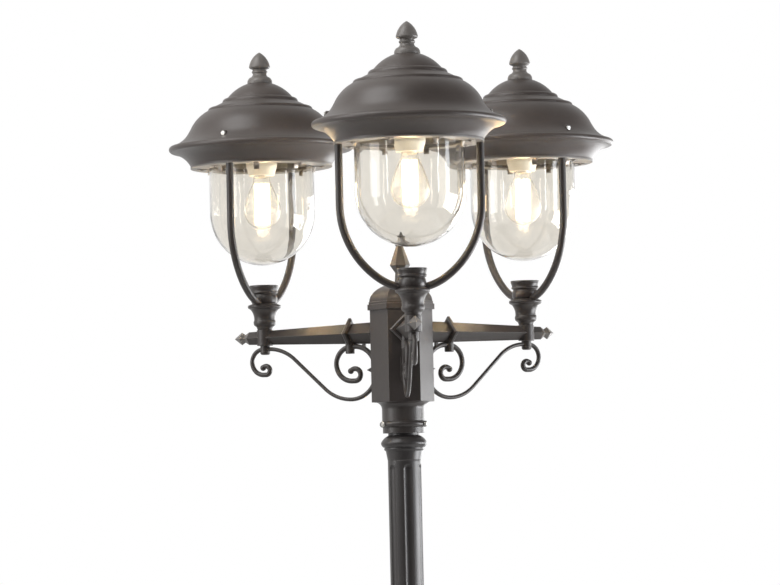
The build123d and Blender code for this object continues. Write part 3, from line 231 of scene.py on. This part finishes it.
def spread(tree, value, low, high, to_low=0.0, to_high=1.0):
    node = tree.nodes.new("ShaderNodeMapRange")
    node.inputs["From Min"].default_value = low
    node.inputs["From Max"].default_value = high
    node.inputs["To Min"].default_value = to_low
    node.inputs["To Max"].default_value = to_high
    tree.links.new(value, node.inputs["Value"])
    return node.outputs["Result"]


MIX_FIRST_COLOUR = 6
MIX_SECOND_COLOUR = 7
MIX_COLOUR = 2


def mixed(tree, factor, first, second):
    node = tree.nodes.new("ShaderNodeMix")
    node.data_type = "RGBA"
    tree.links.new(factor, node.inputs["Factor"])
    for index, value in ((MIX_FIRST_COLOUR, first), (MIX_SECOND_COLOUR, second)):
        if isinstance(value, tuple):
            node.inputs[index].default_value = (*value, 1)
        else:
            tree.links.new(value, node.inputs[index])
    return node.outputs[MIX_COLOUR]


def math_node(tree, operation, first, second):
    node = tree.nodes.new("ShaderNodeMath")
    node.operation = operation
    for socket, value in zip(node.inputs, (first, second)):
        if isinstance(value, (int, float)):
            socket.default_value = value
        else:
            tree.links.new(value, socket)
    return node.outputs[0]


def total(tree, first, second):
    return math_node(tree, "ADD", first, second)


def product(tree, first, second):
    return math_node(tree, "MULTIPLY", first, second)


def shaded(colour, share):
    return tuple(min(1, part * share) for part in colour)


EDGE_SAMPLES = 6
FLAT_TO_SHARP = (0.995, 0.93)  # how far the eased normal agrees with the plain one
LEVEL_TO_RAISED = (0.495, 0.52)  # pointiness
LEVEL_TO_HOLLOW = (0.495, 0.45)  # pointiness
SLOPING_TO_LYING = (0.35, 1.0)  # the normal's upward part
SPECK_CUT = (0.62, 0.7)
PATCH_SPAN = (0.3, 0.7)
PATCH_SHADES = (0.86, 1.14)
PATCH_DULLNESS = (-0.04, 0.04)
DUST_DULLNESS = 0.3
SPECK_STRENGTH = 0.12
GRAIN_HEIGHT = 0.35
WAVE_HEIGHT = 2.2
# lighter colour on edges: partly rubbed wear, partly a painted highlight
RUB_AND_HIGHLIGHT_COLOUR = (0.16, 0.145, 0.132)
DUST_COLOUR = (0.2, 0.18, 0.155)
SPECK_COLOUR = (0.2, 0.185, 0.17)


def build_coat_group():
    """Powder coat on cast metal: orange peel, fine grain, casting waves, dust, and edge rub that is partly
    wear and partly a painted highlight.
    """
    group, inside, outside = new_group(
        "powder_coat",
        [
            ("Vector", "NodeSocketVector", None),
            ("Colour", "NodeSocketColor", (0.07, 0.06, 0.055, 1)),
            ("Edge rub", "NodeSocketFloat", 0.3),
            ("Dust", "NodeSocketFloat", 0.3),
            ("Dullness", "NodeSocketFloat", 0.38),
            ("Edge radius", "NodeSocketFloat", 0.001),
        ],
        [
            ("Colour", "NodeSocketColor"),
            ("Roughness", "NodeSocketFloat"),
            ("Height", "NodeSocketFloat"),
            ("Normal", "NodeSocketVector"),
        ],
    )
    vector = inside.outputs["Vector"]
    peel = noise(group, vector, scale=900, detail=2)
    grain = noise(group, vector, scale=2600, detail=1)
    wave = noise(group, vector, scale=38, detail=2)
    patch = noise(group, vector, scale=9, detail=4, roughness=0.6)
    speck = spread(group, noise(group, vector, scale=420, detail=2, roughness=0.7), *SPECK_CUT)

    geometry = group.nodes.new("ShaderNodeNewGeometry")
    eased = group.nodes.new("ShaderNodeBevel")
    eased.samples = EDGE_SAMPLES
    group.links.new(inside.outputs["Edge radius"], eased.inputs["Radius"])
    group.links.new(eased.outputs["Normal"], outside.inputs["Normal"])
    turning = group.nodes.new("ShaderNodeVectorMath")
    turning.operation = "DOT_PRODUCT"
    group.links.new(eased.outputs["Normal"], turning.inputs[0])
    group.links.new(geometry.outputs["Normal"], turning.inputs[1])
    edge = spread(group, turning.outputs["Value"], *FLAT_TO_SHARP)
    raised = spread(group, geometry.outputs["Pointiness"], *LEVEL_TO_RAISED)
    # edge mask for the lighter colour: partly rubbed wear, partly a painted highlight
    rub_and_highlight = product(group, product(group, edge, raised), inside.outputs["Edge rub"])

    hollow = spread(group, geometry.outputs["Pointiness"], *LEVEL_TO_HOLLOW)
    facing = group.nodes.new("ShaderNodeSeparateXYZ")
    group.links.new(geometry.outputs["Normal"], facing.inputs[0])
    lying = spread(group, facing.outputs["Z"], *SLOPING_TO_LYING)
    dust = product(group, math_node(group, "MAXIMUM", lying, hollow), patch)
    dust = product(group, dust, inside.outputs["Dust"])

    shade = group.nodes.new("ShaderNodeHueSaturation")
    group.links.new(inside.outputs["Colour"], shade.inputs["Color"])
    group.links.new(spread(group, patch, *PATCH_SPAN, *PATCH_SHADES), shade.inputs["Value"])
    colour = mixed(group, rub_and_highlight, shade.outputs["Color"], RUB_AND_HIGHLIGHT_COLOUR)
    colour = mixed(group, dust, colour, DUST_COLOUR)
    colour = mixed(group, product(group, speck, SPECK_STRENGTH), colour, SPECK_COLOUR)
    group.links.new(colour, outside.inputs["Colour"])

    roughness = total(group, inside.outputs["Dullness"], product(group, dust, DUST_DULLNESS))
    roughness = total(group, roughness, spread(group, patch, *PATCH_SPAN, *PATCH_DULLNESS))
    group.links.new(roughness, outside.inputs["Roughness"])

    height = total(group, peel, product(group, grain, GRAIN_HEIGHT))
    height = total(group, height, product(group, wave, WAVE_HEIGHT))
    group.links.new(height, outside.inputs["Height"])
    return group


coat_group = build_coat_group()


def new_material(name):
    material = bpy.data.materials.new(name)
    material.use_nodes = True
    tree = material.node_tree
    shader = tree.nodes["Principled BSDF"]
    coordinates = tree.nodes.new("ShaderNodeTexCoord")
    return material, tree, shader, coordinates.outputs["Object"]


def add_bump(tree, shader, height, strength, depth, normal=None):
    bump = tree.nodes.new("ShaderNodeBump")
    if normal:
        tree.links.new(normal, bump.inputs["Normal"])
    bump.inputs["Strength"].default_value = strength
    bump.inputs["Distance"].default_value = depth * MM
    tree.links.new(height, bump.inputs["Height"])
    tree.links.new(bump.outputs["Normal"], shader.inputs["Normal"])


# pale inside colour: partly reflector paint, partly painted light from the bulb
INSIDE_PAINT_AND_BULB_LIGHT = (0.42, 0.4, 0.37)
HOOD_HEART = 10  # height on the hood's axis that its inside faces look at
OUTER_TO_INNER = (-2 * MM, -6 * MM)


def painted_inside_and_bulb_light(tree, colour, vector, lantern):
    """Pale paint on the hood's inside, whose faces look at a point above its mouth: partly reflector paint,
    partly painted light from the bulb.
    """
    coordinates = tree.nodes["Texture Coordinate"]
    place = tree.nodes.new("ShaderNodeMapping")
    angle = radians(ARMS[lantern])
    place.inputs["Location"].default_value = (
        -LANTERN_REACH * cos(angle), -LANTERN_REACH * sin(angle), -HOOD_LEVEL - HOOD_HEART * MM
    )
    tree.links.new(vector, place.inputs["Vector"])
    facing = tree.nodes.new("ShaderNodeVectorMath")
    facing.operation = "DOT_PRODUCT"
    tree.links.new(place.outputs["Vector"], facing.inputs[0])
    tree.links.new(coordinates.outputs["Normal"], facing.inputs[1])
    inner = spread(tree, facing.outputs["Value"], *OUTER_TO_INNER)
    return mixed(tree, inner, colour, INSIDE_PAINT_AND_BULB_LIGHT)


COAT_DEPTH = 0.25


def powder_coat(name, colour, dullness, rub_and_highlight, dust, bump=0.35, edge=0.9, lantern=""):
    """The coat with its own values, whose edge rub is partly a painted highlight; a lantern's name gives
    its hood a pale inside that is partly painted bulb light.
    """
    material, tree, shader, vector = new_material(name)
    coat = tree.nodes.new("ShaderNodeGroup")
    coat.node_tree = coat_group
    coat.inputs["Colour"].default_value = (*colour, 1)
    coat.inputs["Edge rub"].default_value = rub_and_highlight
    coat.inputs["Dust"].default_value = dust
    coat.inputs["Dullness"].default_value = dullness
    coat.inputs["Edge radius"].default_value = edge * MM
    tree.links.new(vector, coat.inputs["Vector"])
    shade = coat.outputs["Colour"]
    if lantern:
        shade = painted_inside_and_bulb_light(tree, shade, vector, lantern)
    tree.links.new(shade, shader.inputs["Base Color"])
    tree.links.new(coat.outputs["Roughness"], shader.inputs["Roughness"])
    add_bump(tree, shader, coat.outputs["Height"], bump, COAT_DEPTH, coat.outputs["Normal"])
    return material


hood_coats = {
    arm: powder_coat(
        f"hood_powder_coat_{arm}", (0.069, 0.056, 0.05), dullness=0.36, rub_and_highlight=0.4, dust=0.2, lantern=arm
    )
    for arm in ARMS
}
# a lighter coat than the castings: painted light on the arm tips
tip_coat_painted_light = powder_coat("tip_powder_coat_painted_light", (0.16, 0.147, 0.137), dullness=0.34, rub_and_highlight=0.6, dust=0.15)
spire_coat = powder_coat("spire_powder_coat", (0.055, 0.049, 0.045), dullness=0.36, rub_and_highlight=0.5, dust=0.15)
# a lighter coat than the hoods: painted top light on the finials
finial_coat_painted_light = powder_coat("finial_powder_coat_painted_light", (0.155, 0.141, 0.13), dullness=0.34, rub_and_highlight=0.5, dust=0.2)
# pale colour on the gallery ring: painted light from the bulb
gallery_coat_painted_bulb_light = powder_coat("gallery_powder_coat_painted_bulb_light", (0.2, 0.185, 0.17), dullness=0.4, rub_and_highlight=0.3, dust=0.2)
cast_coat = powder_coat(
    "casting_powder_coat", (0.042, 0.035, 0.032), dullness=0.33, rub_and_highlight=0.6, dust=0.15, bump=0.3, edge=1.1
)
column_coat = powder_coat(
    "column_powder_coat", (0.038, 0.034, 0.033), dullness=0.35, rub_and_highlight=0.25, dust=0.05, bump=0.1, edge=2.6
)

FINE_DEPTH = 0.1
SCRATCH_STRENGTH = 0.25
TARNISH_SPAN = (0.35, 0.7)
TARNISH_SHADE = 0.72
TARNISH_DULLNESS = 0.18
MOULD_SHADES = (0.85, 1.12)
MOULD_DULLNESS = (-0.06, 0.08)
MOULD_STRENGTH = 0.2


def metal(name, colour, roughness):
    """Plated or plain metal with fine scratches and dull patches."""
    material, tree, shader, vector = new_material(name)
    patch = noise(tree, vector, scale=120, detail=4, roughness=0.6)
    fine = noise(tree, vector, scale=2200, detail=2)
    tone = mixed(tree, spread(tree, patch, *TARNISH_SPAN), colour, shaded(colour, TARNISH_SHADE))
    tree.links.new(tone, shader.inputs["Base Color"])
    dull = spread(tree, patch, *PATCH_SPAN, roughness, roughness + TARNISH_DULLNESS)
    tree.links.new(dull, shader.inputs["Roughness"])
    shader.inputs["Metallic"].default_value = 1.0
    add_bump(tree, shader, fine, SCRATCH_STRENGTH, FINE_DEPTH)
    return material


def moulded(name, colour, roughness):
    """Moulded plastic, rubber or ceramic with a fine grain."""
    material, tree, shader, vector = new_material(name)
    patch = noise(tree, vector, scale=60)
    fine = noise(tree, vector, scale=1500, detail=2)
    tone = mixed(tree, patch, *(shaded(colour, share) for share in MOULD_SHADES))
    tree.links.new(tone, shader.inputs["Base Color"])
    dull = spread(tree, fine, *PATCH_SPAN, *(roughness + change for change in MOULD_DULLNESS))
    tree.links.new(dull, shader.inputs["Roughness"])
    add_bump(tree, shader, fine, MOULD_STRENGTH, FINE_DEPTH)
    return material


plated_steel = metal("zinc_plated_steel", (0.62, 0.6, 0.56), 0.28)
clip_steel = metal("clip_steel", (0.4, 0.36, 0.32), 0.25)
screw_brass = metal("earth_stud_brass", (0.78, 0.58, 0.27), 0.3)
cap_metal = metal("bulb_cap_nickel", (0.72, 0.7, 0.66), 0.25)
grommet_rubber = moulded("grommet_rubber", (0.03, 0.03, 0.03), 0.7)
terminal_plastic = moulded("terminal_plastic", (0.7, 0.67, 0.6), 0.45)
lead_plastic = moulded("lead_insulation", (0.05, 0.05, 0.05), 0.4)
holder_ceramic = moulded("lampholder_ceramic", (0.8, 0.76, 0.66), 0.35)

GLASS_DEPTH = 2
SMEAR_TONE_SPAN = (0.4, 0.75)
SMEAR_SHADE = 0.97
SMEAR_SPAN = (0.45, 0.8)
SMEAR_DULLNESS = 0.03
SHADOW_TINT = (0.95, 0.94, 0.92, 1)


def glass(name, tint, roughness, ripple, bending):
    """Blown glass with faint waves; it lets the lamps' light out through its shadow rays."""
    material, tree, shader, vector = new_material(name)
    wave = noise(tree, vector, scale=22, detail=2)
    smear = noise(tree, vector, scale=60, detail=4, roughness=0.65)
    tone = mixed(tree, spread(tree, smear, *SMEAR_TONE_SPAN), tint, shaded(tint, SMEAR_SHADE))
    tree.links.new(tone, shader.inputs["Base Color"])
    dull = spread(tree, smear, *SMEAR_SPAN, roughness, roughness + SMEAR_DULLNESS)
    tree.links.new(dull, shader.inputs["Roughness"])
    shader.inputs["Transmission Weight"].default_value = 1.0
    shader.inputs["IOR"].default_value = bending
    add_bump(tree, shader, wave, ripple, GLASS_DEPTH)
    clear = tree.nodes.new("ShaderNodeBsdfTransparent")
    clear.inputs["Color"].default_value = SHADOW_TINT
    path = tree.nodes.new("ShaderNodeLightPath")
    either = tree.nodes.new("ShaderNodeMixShader")
    tree.links.new(path.outputs["Is Shadow Ray"], either.inputs[0])
    tree.links.new(shader.outputs[0], either.inputs[1])
    tree.links.new(clear.outputs[0], either.inputs[2])
    tree.links.new(either.outputs[0], tree.nodes["Material Output"].inputs["Surface"])
    return material


def glowing(name, warm, hot, strength):
    """Phosphor-coated filament that gives the lamp's light."""
    material, tree, shader, vector = new_material(name)
    shader.inputs["Base Color"].default_value = (*warm, 1)
    glow = mixed(tree, noise(tree, vector, scale=900, detail=2), hot, warm)
    tree.links.new(glow, shader.inputs["Emission Color"])
    shader.inputs["Emission Strength"].default_value = strength
    return material


bowl_glass = glass("bowl_glass", (0.885, 0.861, 0.815), roughness=0.0, ripple=0.25, bending=1.45)
bulb_envelope = glass("bulb_glass", (1.0, 0.99, 0.97), roughness=0.26, ripple=0.1, bending=1.2)
bulb_filament = glowing("bulb_filament", warm=(1, 0.78, 0.5), hot=(1, 0.86, 0.6), strength=78)

# ------------------------------------------------------------------ finishes on the CAD pieces
FINISHES = (
    # starts of the nodes' names, material; a later row goes before an earlier one
    (("column", "base_p"), column_coat),
    (("base_flange", "hub", "arm", "scroll", "cup", "yoke"), cast_coat),
    (("gallery",), gallery_coat_painted_bulb_light),
    (("hood_front",), hood_coats["front"]),
    (("hood_right",), hood_coats["right"]),
    (("hood_left",), hood_coats["left"]),
    (("hood_finial",), finial_coat_painted_light),
    (("hub_spire",), spire_coat),
    (("arm_tips",), tip_coat_painted_light),
    (("neck_set", "hub_lock", "cap_bridge", "hood_screws", "holder_tube"), plated_steel),
    (("cable_grommet",), grommet_rubber),
    (("earth_stud",), screw_brass),
    (("terminal_block",), terminal_plastic),
    (("lamp_leads",), lead_plastic),
    (("lampholder",), holder_ceramic),
    (("bulb_cap",), cap_metal),
    (("bulb_glass",), bulb_envelope),
    (("bowl",), bowl_glass),
)
for name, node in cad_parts.items():
    for starts, material in FINISHES:
        if name.startswith(starts):
            node.data.materials.clear()
            node.data.materials.append(material)

# ------------------------------------------------------------------ bulbs' filaments
BULB_BELOW_GALLERY = 102
BULB_BOTTOM = GALLERY_LEVEL - BULB_BELOW_GALLERY * MM
FILAMENT_COUNT = 8
FILAMENT_RADIUS = 2.2
FILAMENT_CIRCLE = 9.6
FILAMENT_LENGTH = 66
FILAMENT_FOOT = 8  # above the bulb's bottom
FILAMENT_TIP = 1
FILAMENT_TIP_BULGE = -0.3
FILAMENT_SIDES = 10


def build_filaments():
    """Straight filaments that stand in a ring inside the bulb."""
    rod = outline(
        (0, 0),
        (FILAMENT_RADIUS, FILAMENT_TIP, FILAMENT_TIP_BULGE),
        (FILAMENT_RADIUS, FILAMENT_LENGTH - FILAMENT_TIP),
        (0, FILAMENT_LENGTH, FILAMENT_TIP_BULGE),
    )
    rods = []
    for step in range(FILAMENT_COUNT):
        piece = turned("filament", rod, BULB_BOTTOM + FILAMENT_FOOT * MM, FILAMENT_SIDES)
        angle = radians(360 / FILAMENT_COUNT * (step + 0.5))
        piece.data.transform(Matrix.Translation(
            (FILAMENT_CIRCLE * MM * cos(angle), FILAMENT_CIRCLE * MM * sin(angle), 0)
        ))
        rods.append(piece)
    ring = joined(rods)
    smooth(ring)
    set_on_lanterns(ring, bulb_filament, "bulb_{}")


build_filaments()

# ------------------------------------------------------------------ acorn finials on the hoods
# Radii, and heights above the hood's crown; a bulge outwards is negative
FINIAL_SIDES = 72
FINIAL_BORE = 5.3
FINIAL_SOCKET = 12
FINIAL_FOOT = 20.2
FINIAL_FOOT_HEIGHT = 1.4
FINIAL_SHOULDER = 16.2
FINIAL_SHOULDER_HEIGHT = 9.8
FINIAL_SHOULDER_BULGE = -1.2
FINIAL_NECK = 11.2
FINIAL_NECK_HEIGHT = 14.4
FINIAL_NECK_BULGE = 0.8
FINIAL_BEAD = 12.4
FINIAL_BEAD_HEIGHT = 19
FINIAL_BEAD_BULGE = -0.3
FINIAL_BEAD_HALF_TOP = 1
FINIAL_BEAD_HALF_FOOT = 2
ACORN_FOOT = 14.4
ACORN_FOOT_HEIGHT = 23
ACORN_FOOT_FLARE = 1.4
ACORN_RADIUS = 16.9
ACORN_WIDEST_HEIGHT = 28.5
ACORN_FOOT_BULGE = -1.1
ACORN_BULGE = -3.1
ACORN_TIP_RADIUS = 0.9
ACORN_TIP = 51


def build_finials():
    """Cast acorn on a flared foot, with a blind hole for the threaded tube that comes through the crown."""
    finial = turned(
        "finial",
        outline(
            (0, FINIAL_SOCKET),
            (FINIAL_BORE, FINIAL_SOCKET),
            (FINIAL_BORE, 0),
            (FINIAL_FOOT, 0),
            (FINIAL_FOOT, FINIAL_FOOT_HEIGHT),
            (FINIAL_SHOULDER, FINIAL_SHOULDER_HEIGHT, FINIAL_SHOULDER_BULGE),
            (FINIAL_NECK, FINIAL_NECK_HEIGHT, FINIAL_NECK_BULGE),
            (FINIAL_NECK, FINIAL_BEAD_HEIGHT - FINIAL_BEAD_HALF_FOOT),
            (FINIAL_BEAD, FINIAL_BEAD_HEIGHT - FINIAL_BEAD_HALF_TOP, FINIAL_BEAD_BULGE),
            (FINIAL_BEAD, FINIAL_BEAD_HEIGHT + FINIAL_BEAD_HALF_TOP, FINIAL_BEAD_BULGE),
            (FINIAL_NECK, FINIAL_BEAD_HEIGHT + FINIAL_BEAD_HALF_FOOT, FINIAL_BEAD_BULGE),
            (FINIAL_NECK, ACORN_FOOT_HEIGHT),
            (ACORN_FOOT, ACORN_FOOT_HEIGHT + ACORN_FOOT_FLARE),
            (ACORN_RADIUS, ACORN_WIDEST_HEIGHT, ACORN_FOOT_BULGE),
            (ACORN_TIP_RADIUS, ACORN_TIP, ACORN_BULGE),
            (0, ACORN_TIP),
        ),
        CROWN_LEVEL,
        FINIAL_SIDES,
    )
    smooth(finial)
    set_on_lanterns(finial, finial_coat_painted_light, "hood_{}", "hood_finial_{}")


build_finials()

# ------------------------------------------------------------------ spring clips round the bowls
GALLERY_THICKNESS = 2
GALLERY_UNDERSIDE = GALLERY_LEVEL - GALLERY_THICKNESS * MM
BOWL_RADIUS = 85
CLIP_COUNT = 8
CLIP_WIDTH = 9
CLIP_GAUGE = 0.9
CLIP_CLEARANCE = 0.1
CLIP_FOOT = 16
CLIP_STAND_OFF = 3.5
CLIP_INNER = BOWL_RADIUS + CLIP_STAND_OFF
CLIP_LEVEL = GALLERY_UNDERSIDE - (CLIP_GAUGE / 2 + CLIP_CLEARANCE) * MM
CLIP_BENDS = ((-1, 1), (-1.6, 6), (1.4, 2))  # run outwards and drop of each stretch of the lip
CLIP_EDGE = 0.25
CLIP_EDGE_ANGLE = 50
CLIP_SCREW_RADIUS = 3.4
CLIP_SCREW_RIM = 1.2
CLIP_SCREW_DOME = 2.6
CLIP_SCREW_BULGE = 0.5
CLIP_SCREW_SIDES = 20
CLIP_SCREW_SHARE = 0.6  # the screw's place along the foot
CLIP_SCREW_PLACE = CLIP_INNER + CLIP_FOOT * CLIP_SCREW_SHARE


def build_clip_strip():
    """A flat foot whose inner end is bent down to a lip, first as a sheet and then with its gauge."""
    clear_selection()
    bpy.ops.mesh.primitive_plane_add(size=1, location=((CLIP_INNER + CLIP_FOOT / 2) * MM, 0, CLIP_LEVEL))
    clip = bpy.context.object
    clip.name = "bowl_clips"
    clip.scale = (CLIP_FOOT * MM, CLIP_WIDTH * MM, 1)
    bake_place(clip)
    bpy.ops.object.mode_set(mode="EDIT")
    bpy.ops.mesh.select_all(action="DESELECT")
    bpy.ops.object.mode_set(mode="OBJECT")
    for vertex in clip.data.vertices:
        vertex.select = vertex.co.x < (CLIP_INNER + CLIP_FOOT / 2) * MM
    for edge in clip.data.edges:
        edge.select = all(clip.data.vertices[index].select for index in edge.vertices)
    bpy.ops.object.mode_set(mode="EDIT")
    bpy.ops.mesh.select_mode(type="EDGE")
    for run, drop in CLIP_BENDS:
        bpy.ops.mesh.extrude_region_move(TRANSFORM_OT_translate={"value": (run * MM, 0, -drop * MM)})
    bpy.ops.mesh.select_mode(type="VERT")
    bpy.ops.object.mode_set(mode="OBJECT")
    sheet = clip.modifiers.new("gauge", "SOLIDIFY")
    sheet.thickness = CLIP_GAUGE * MM
    sheet.offset = 0
    bpy.ops.object.modifier_apply(modifier=sheet.name)
    soften(clip, CLIP_EDGE, CLIP_EDGE_ANGLE)
    return clip


def build_clip_screw():
    head = turned(
        "clip_screw",
        outline(
            (0, -CLIP_SCREW_DOME),
            (CLIP_SCREW_RADIUS, -CLIP_SCREW_RIM, CLIP_SCREW_BULGE),
            (CLIP_SCREW_RADIUS, 0),
            (0, 0),
        ),
        CLIP_LEVEL - CLIP_GAUGE / 2 * MM,
        CLIP_SCREW_SIDES,
    )
    head.data.transform(Matrix.Translation((CLIP_SCREW_PLACE * MM, 0, 0)))
    return head


def build_bowl_clips():
    """Spring clips screwed under the gallery, whose lips bear on the bowl."""
    clip = joined([build_clip_strip(), build_clip_screw()])
    ring = [clip]
    for step in range(1, CLIP_COUNT):
        neighbour = twin(clip)
        neighbour.data.transform(Matrix.Rotation(2 * pi * step / CLIP_COUNT, 4, "Z"))
        ring.append(neighbour)
    joined(ring)
    clip.data.transform(Matrix.Rotation(pi / CLIP_COUNT, 4, "Z"))
    smooth(clip)
    set_on_lanterns(clip, clip_steel, "head")


build_bowl_clips()

# ------------------------------------------------------------------ floor, backdrop and light
FLOOR_SIZE = 4.0
FLOOR_LEVEL = -0.0005
FLOOR_COLOUR = (0.64, 0.64, 0.63, 1)
FLOOR_DULLNESS = 0.8


def lay_floor():
    clear_selection()
    bpy.ops.mesh.primitive_plane_add(size=FLOOR_SIZE, location=(0, 0, FLOOR_LEVEL))
    floor = bpy.context.object
    floor.name = "floor"
    material, _, shader, _ = new_material("pale_floor")
    shader.inputs["Base Color"].default_value = FLOOR_COLOUR
    shader.inputs["Roughness"].default_value = FLOOR_DULLNESS
    floor.data.materials.append(material)


lay_floor()

HEAD = (0, 0, 1.85)
HUB_FOOT = (0, 0, 1.6)
COLUMN_TOP = (0, 0, 1.5)
WHITE = (1, 1, 1)
LIGHTS = (
    # name, place, aim, width and height, watts, colour
    ("top_softbox", (-1.5, -0.8, 4.1), HEAD, (1.8, 1.8), 38, WHITE),
    ("left_softbox", (-2.6, -0.6, 2.4), HEAD, (1.2, 1.8), 24, WHITE),
    ("right_panel", (2.8, 0, 1.15), COLUMN_TOP, (1.9, 1.2), 84, (0.97, 0.98, 1)),
    ("back_panel", (1.9, 2.2, 1.5), HUB_FOOT, (2.2, 1.4), 38, (0.98, 0.99, 1)),
    ("right_strip", (2.3, -0.65, 2.25), HEAD, (0.42, 1.1), 9, (0.86, 0.92, 1)),
    ("slim_strip", (1.8, -1.45, 2.25), HEAD, (0.1, 1.1), 3.4, (0.9, 0.95, 1)),
    ("left_strip", (-1.8, -1.65, 2.25), HEAD, (0.12, 1.1), 3, WHITE),
    ("front_strip", (-0.35, -2.9, 3.5), HEAD, (1.7, 0.12), 9, WHITE),
)


def add_area_light(name, place, aim, size, watts, colour):
    data = bpy.data.lights.new(name, "AREA")
    data.shape = "RECTANGLE"
    data.size, data.size_y = size
    data.energy = watts
    data.color = colour
    light = bpy.data.objects.new(name, data)
    bpy.context.scene.collection.objects.link(light)
    light.location = place
    light.rotation_euler = (Vector(aim) - Vector(place)).to_track_quat("-Z", "Y").to_euler()


for light_row in LIGHTS:
    add_area_light(*light_row)

# The world's shades: first towards the room in front of the post, then towards the sweep behind it
BEHIND_DIRECTION = (-0.7, 0.75, 0)
ROOM_TO_SWEEP = (-0.35, 0.55)
AMBIENT_ROOM, AMBIENT_SWEEP = (0.22, 0.22, 0.22), (0.55, 0.55, 0.55)
MIRRORED_ROOM, MIRRORED_SWEEP = (0.1, 0.1, 0.1), (0.8, 0.8, 0.8)
LOW_TO_HIGH = (-0.3, 0.6)
AMBIENT_STRENGTHS = (0.5, 1.35)


def build_world():
    """White sweep behind the post that darkens towards the room in front of it."""
    world = bpy.data.worlds.new("studio")
    bpy.context.scene.world = world
    world.use_nodes = True
    tree = world.node_tree
    direction = tree.nodes.new("ShaderNodeTexCoord").outputs["Generated"]
    along = tree.nodes.new("ShaderNodeVectorMath")
    along.operation = "DOT_PRODUCT"
    along.inputs[1].default_value = BEHIND_DIRECTION
    tree.links.new(direction, along.inputs[0])
    behind = spread(tree, along.outputs["Value"], *ROOM_TO_SWEEP)
    parts = tree.nodes.new("ShaderNodeSeparateXYZ")
    tree.links.new(direction, parts.inputs[0])

    ambient = tree.nodes["Background"]
    tree.links.new(mixed(tree, behind, AMBIENT_ROOM, AMBIENT_SWEEP), ambient.inputs["Color"])
    strength = spread(tree, parts.outputs["Z"], *LOW_TO_HIGH, *AMBIENT_STRENGTHS)
    tree.links.new(strength, ambient.inputs["Strength"])
    mirrored = tree.nodes.new("ShaderNodeBackground")
    tree.links.new(mixed(tree, behind, MIRRORED_ROOM, MIRRORED_SWEEP), mirrored.inputs["Color"])
    backdrop = tree.nodes.new("ShaderNodeBackground")
    backdrop.inputs["Color"].default_value = (*WHITE, 1)
    for background in (mirrored, backdrop):
        background.inputs["Strength"].default_value = 1.0

    path = tree.nodes.new("ShaderNodeLightPath")
    seen = math_node(tree, "MAXIMUM", path.outputs["Is Camera Ray"], path.outputs["Is Transmission Ray"])
    result = ambient
    for chosen, background in ((path.outputs["Is Glossy Ray"], mirrored), (seen, backdrop)):
        either = tree.nodes.new("ShaderNodeMixShader")
        tree.links.new(chosen, either.inputs[0])
        tree.links.new(result.outputs[0], either.inputs[1])
        tree.links.new(background.outputs[0], either.inputs[2])
        result = either
    tree.links.new(result.outputs[0], tree.nodes["World Output"].inputs["Surface"])


build_world()

bpy.context.scene.view_settings.view_transform = "Standard"
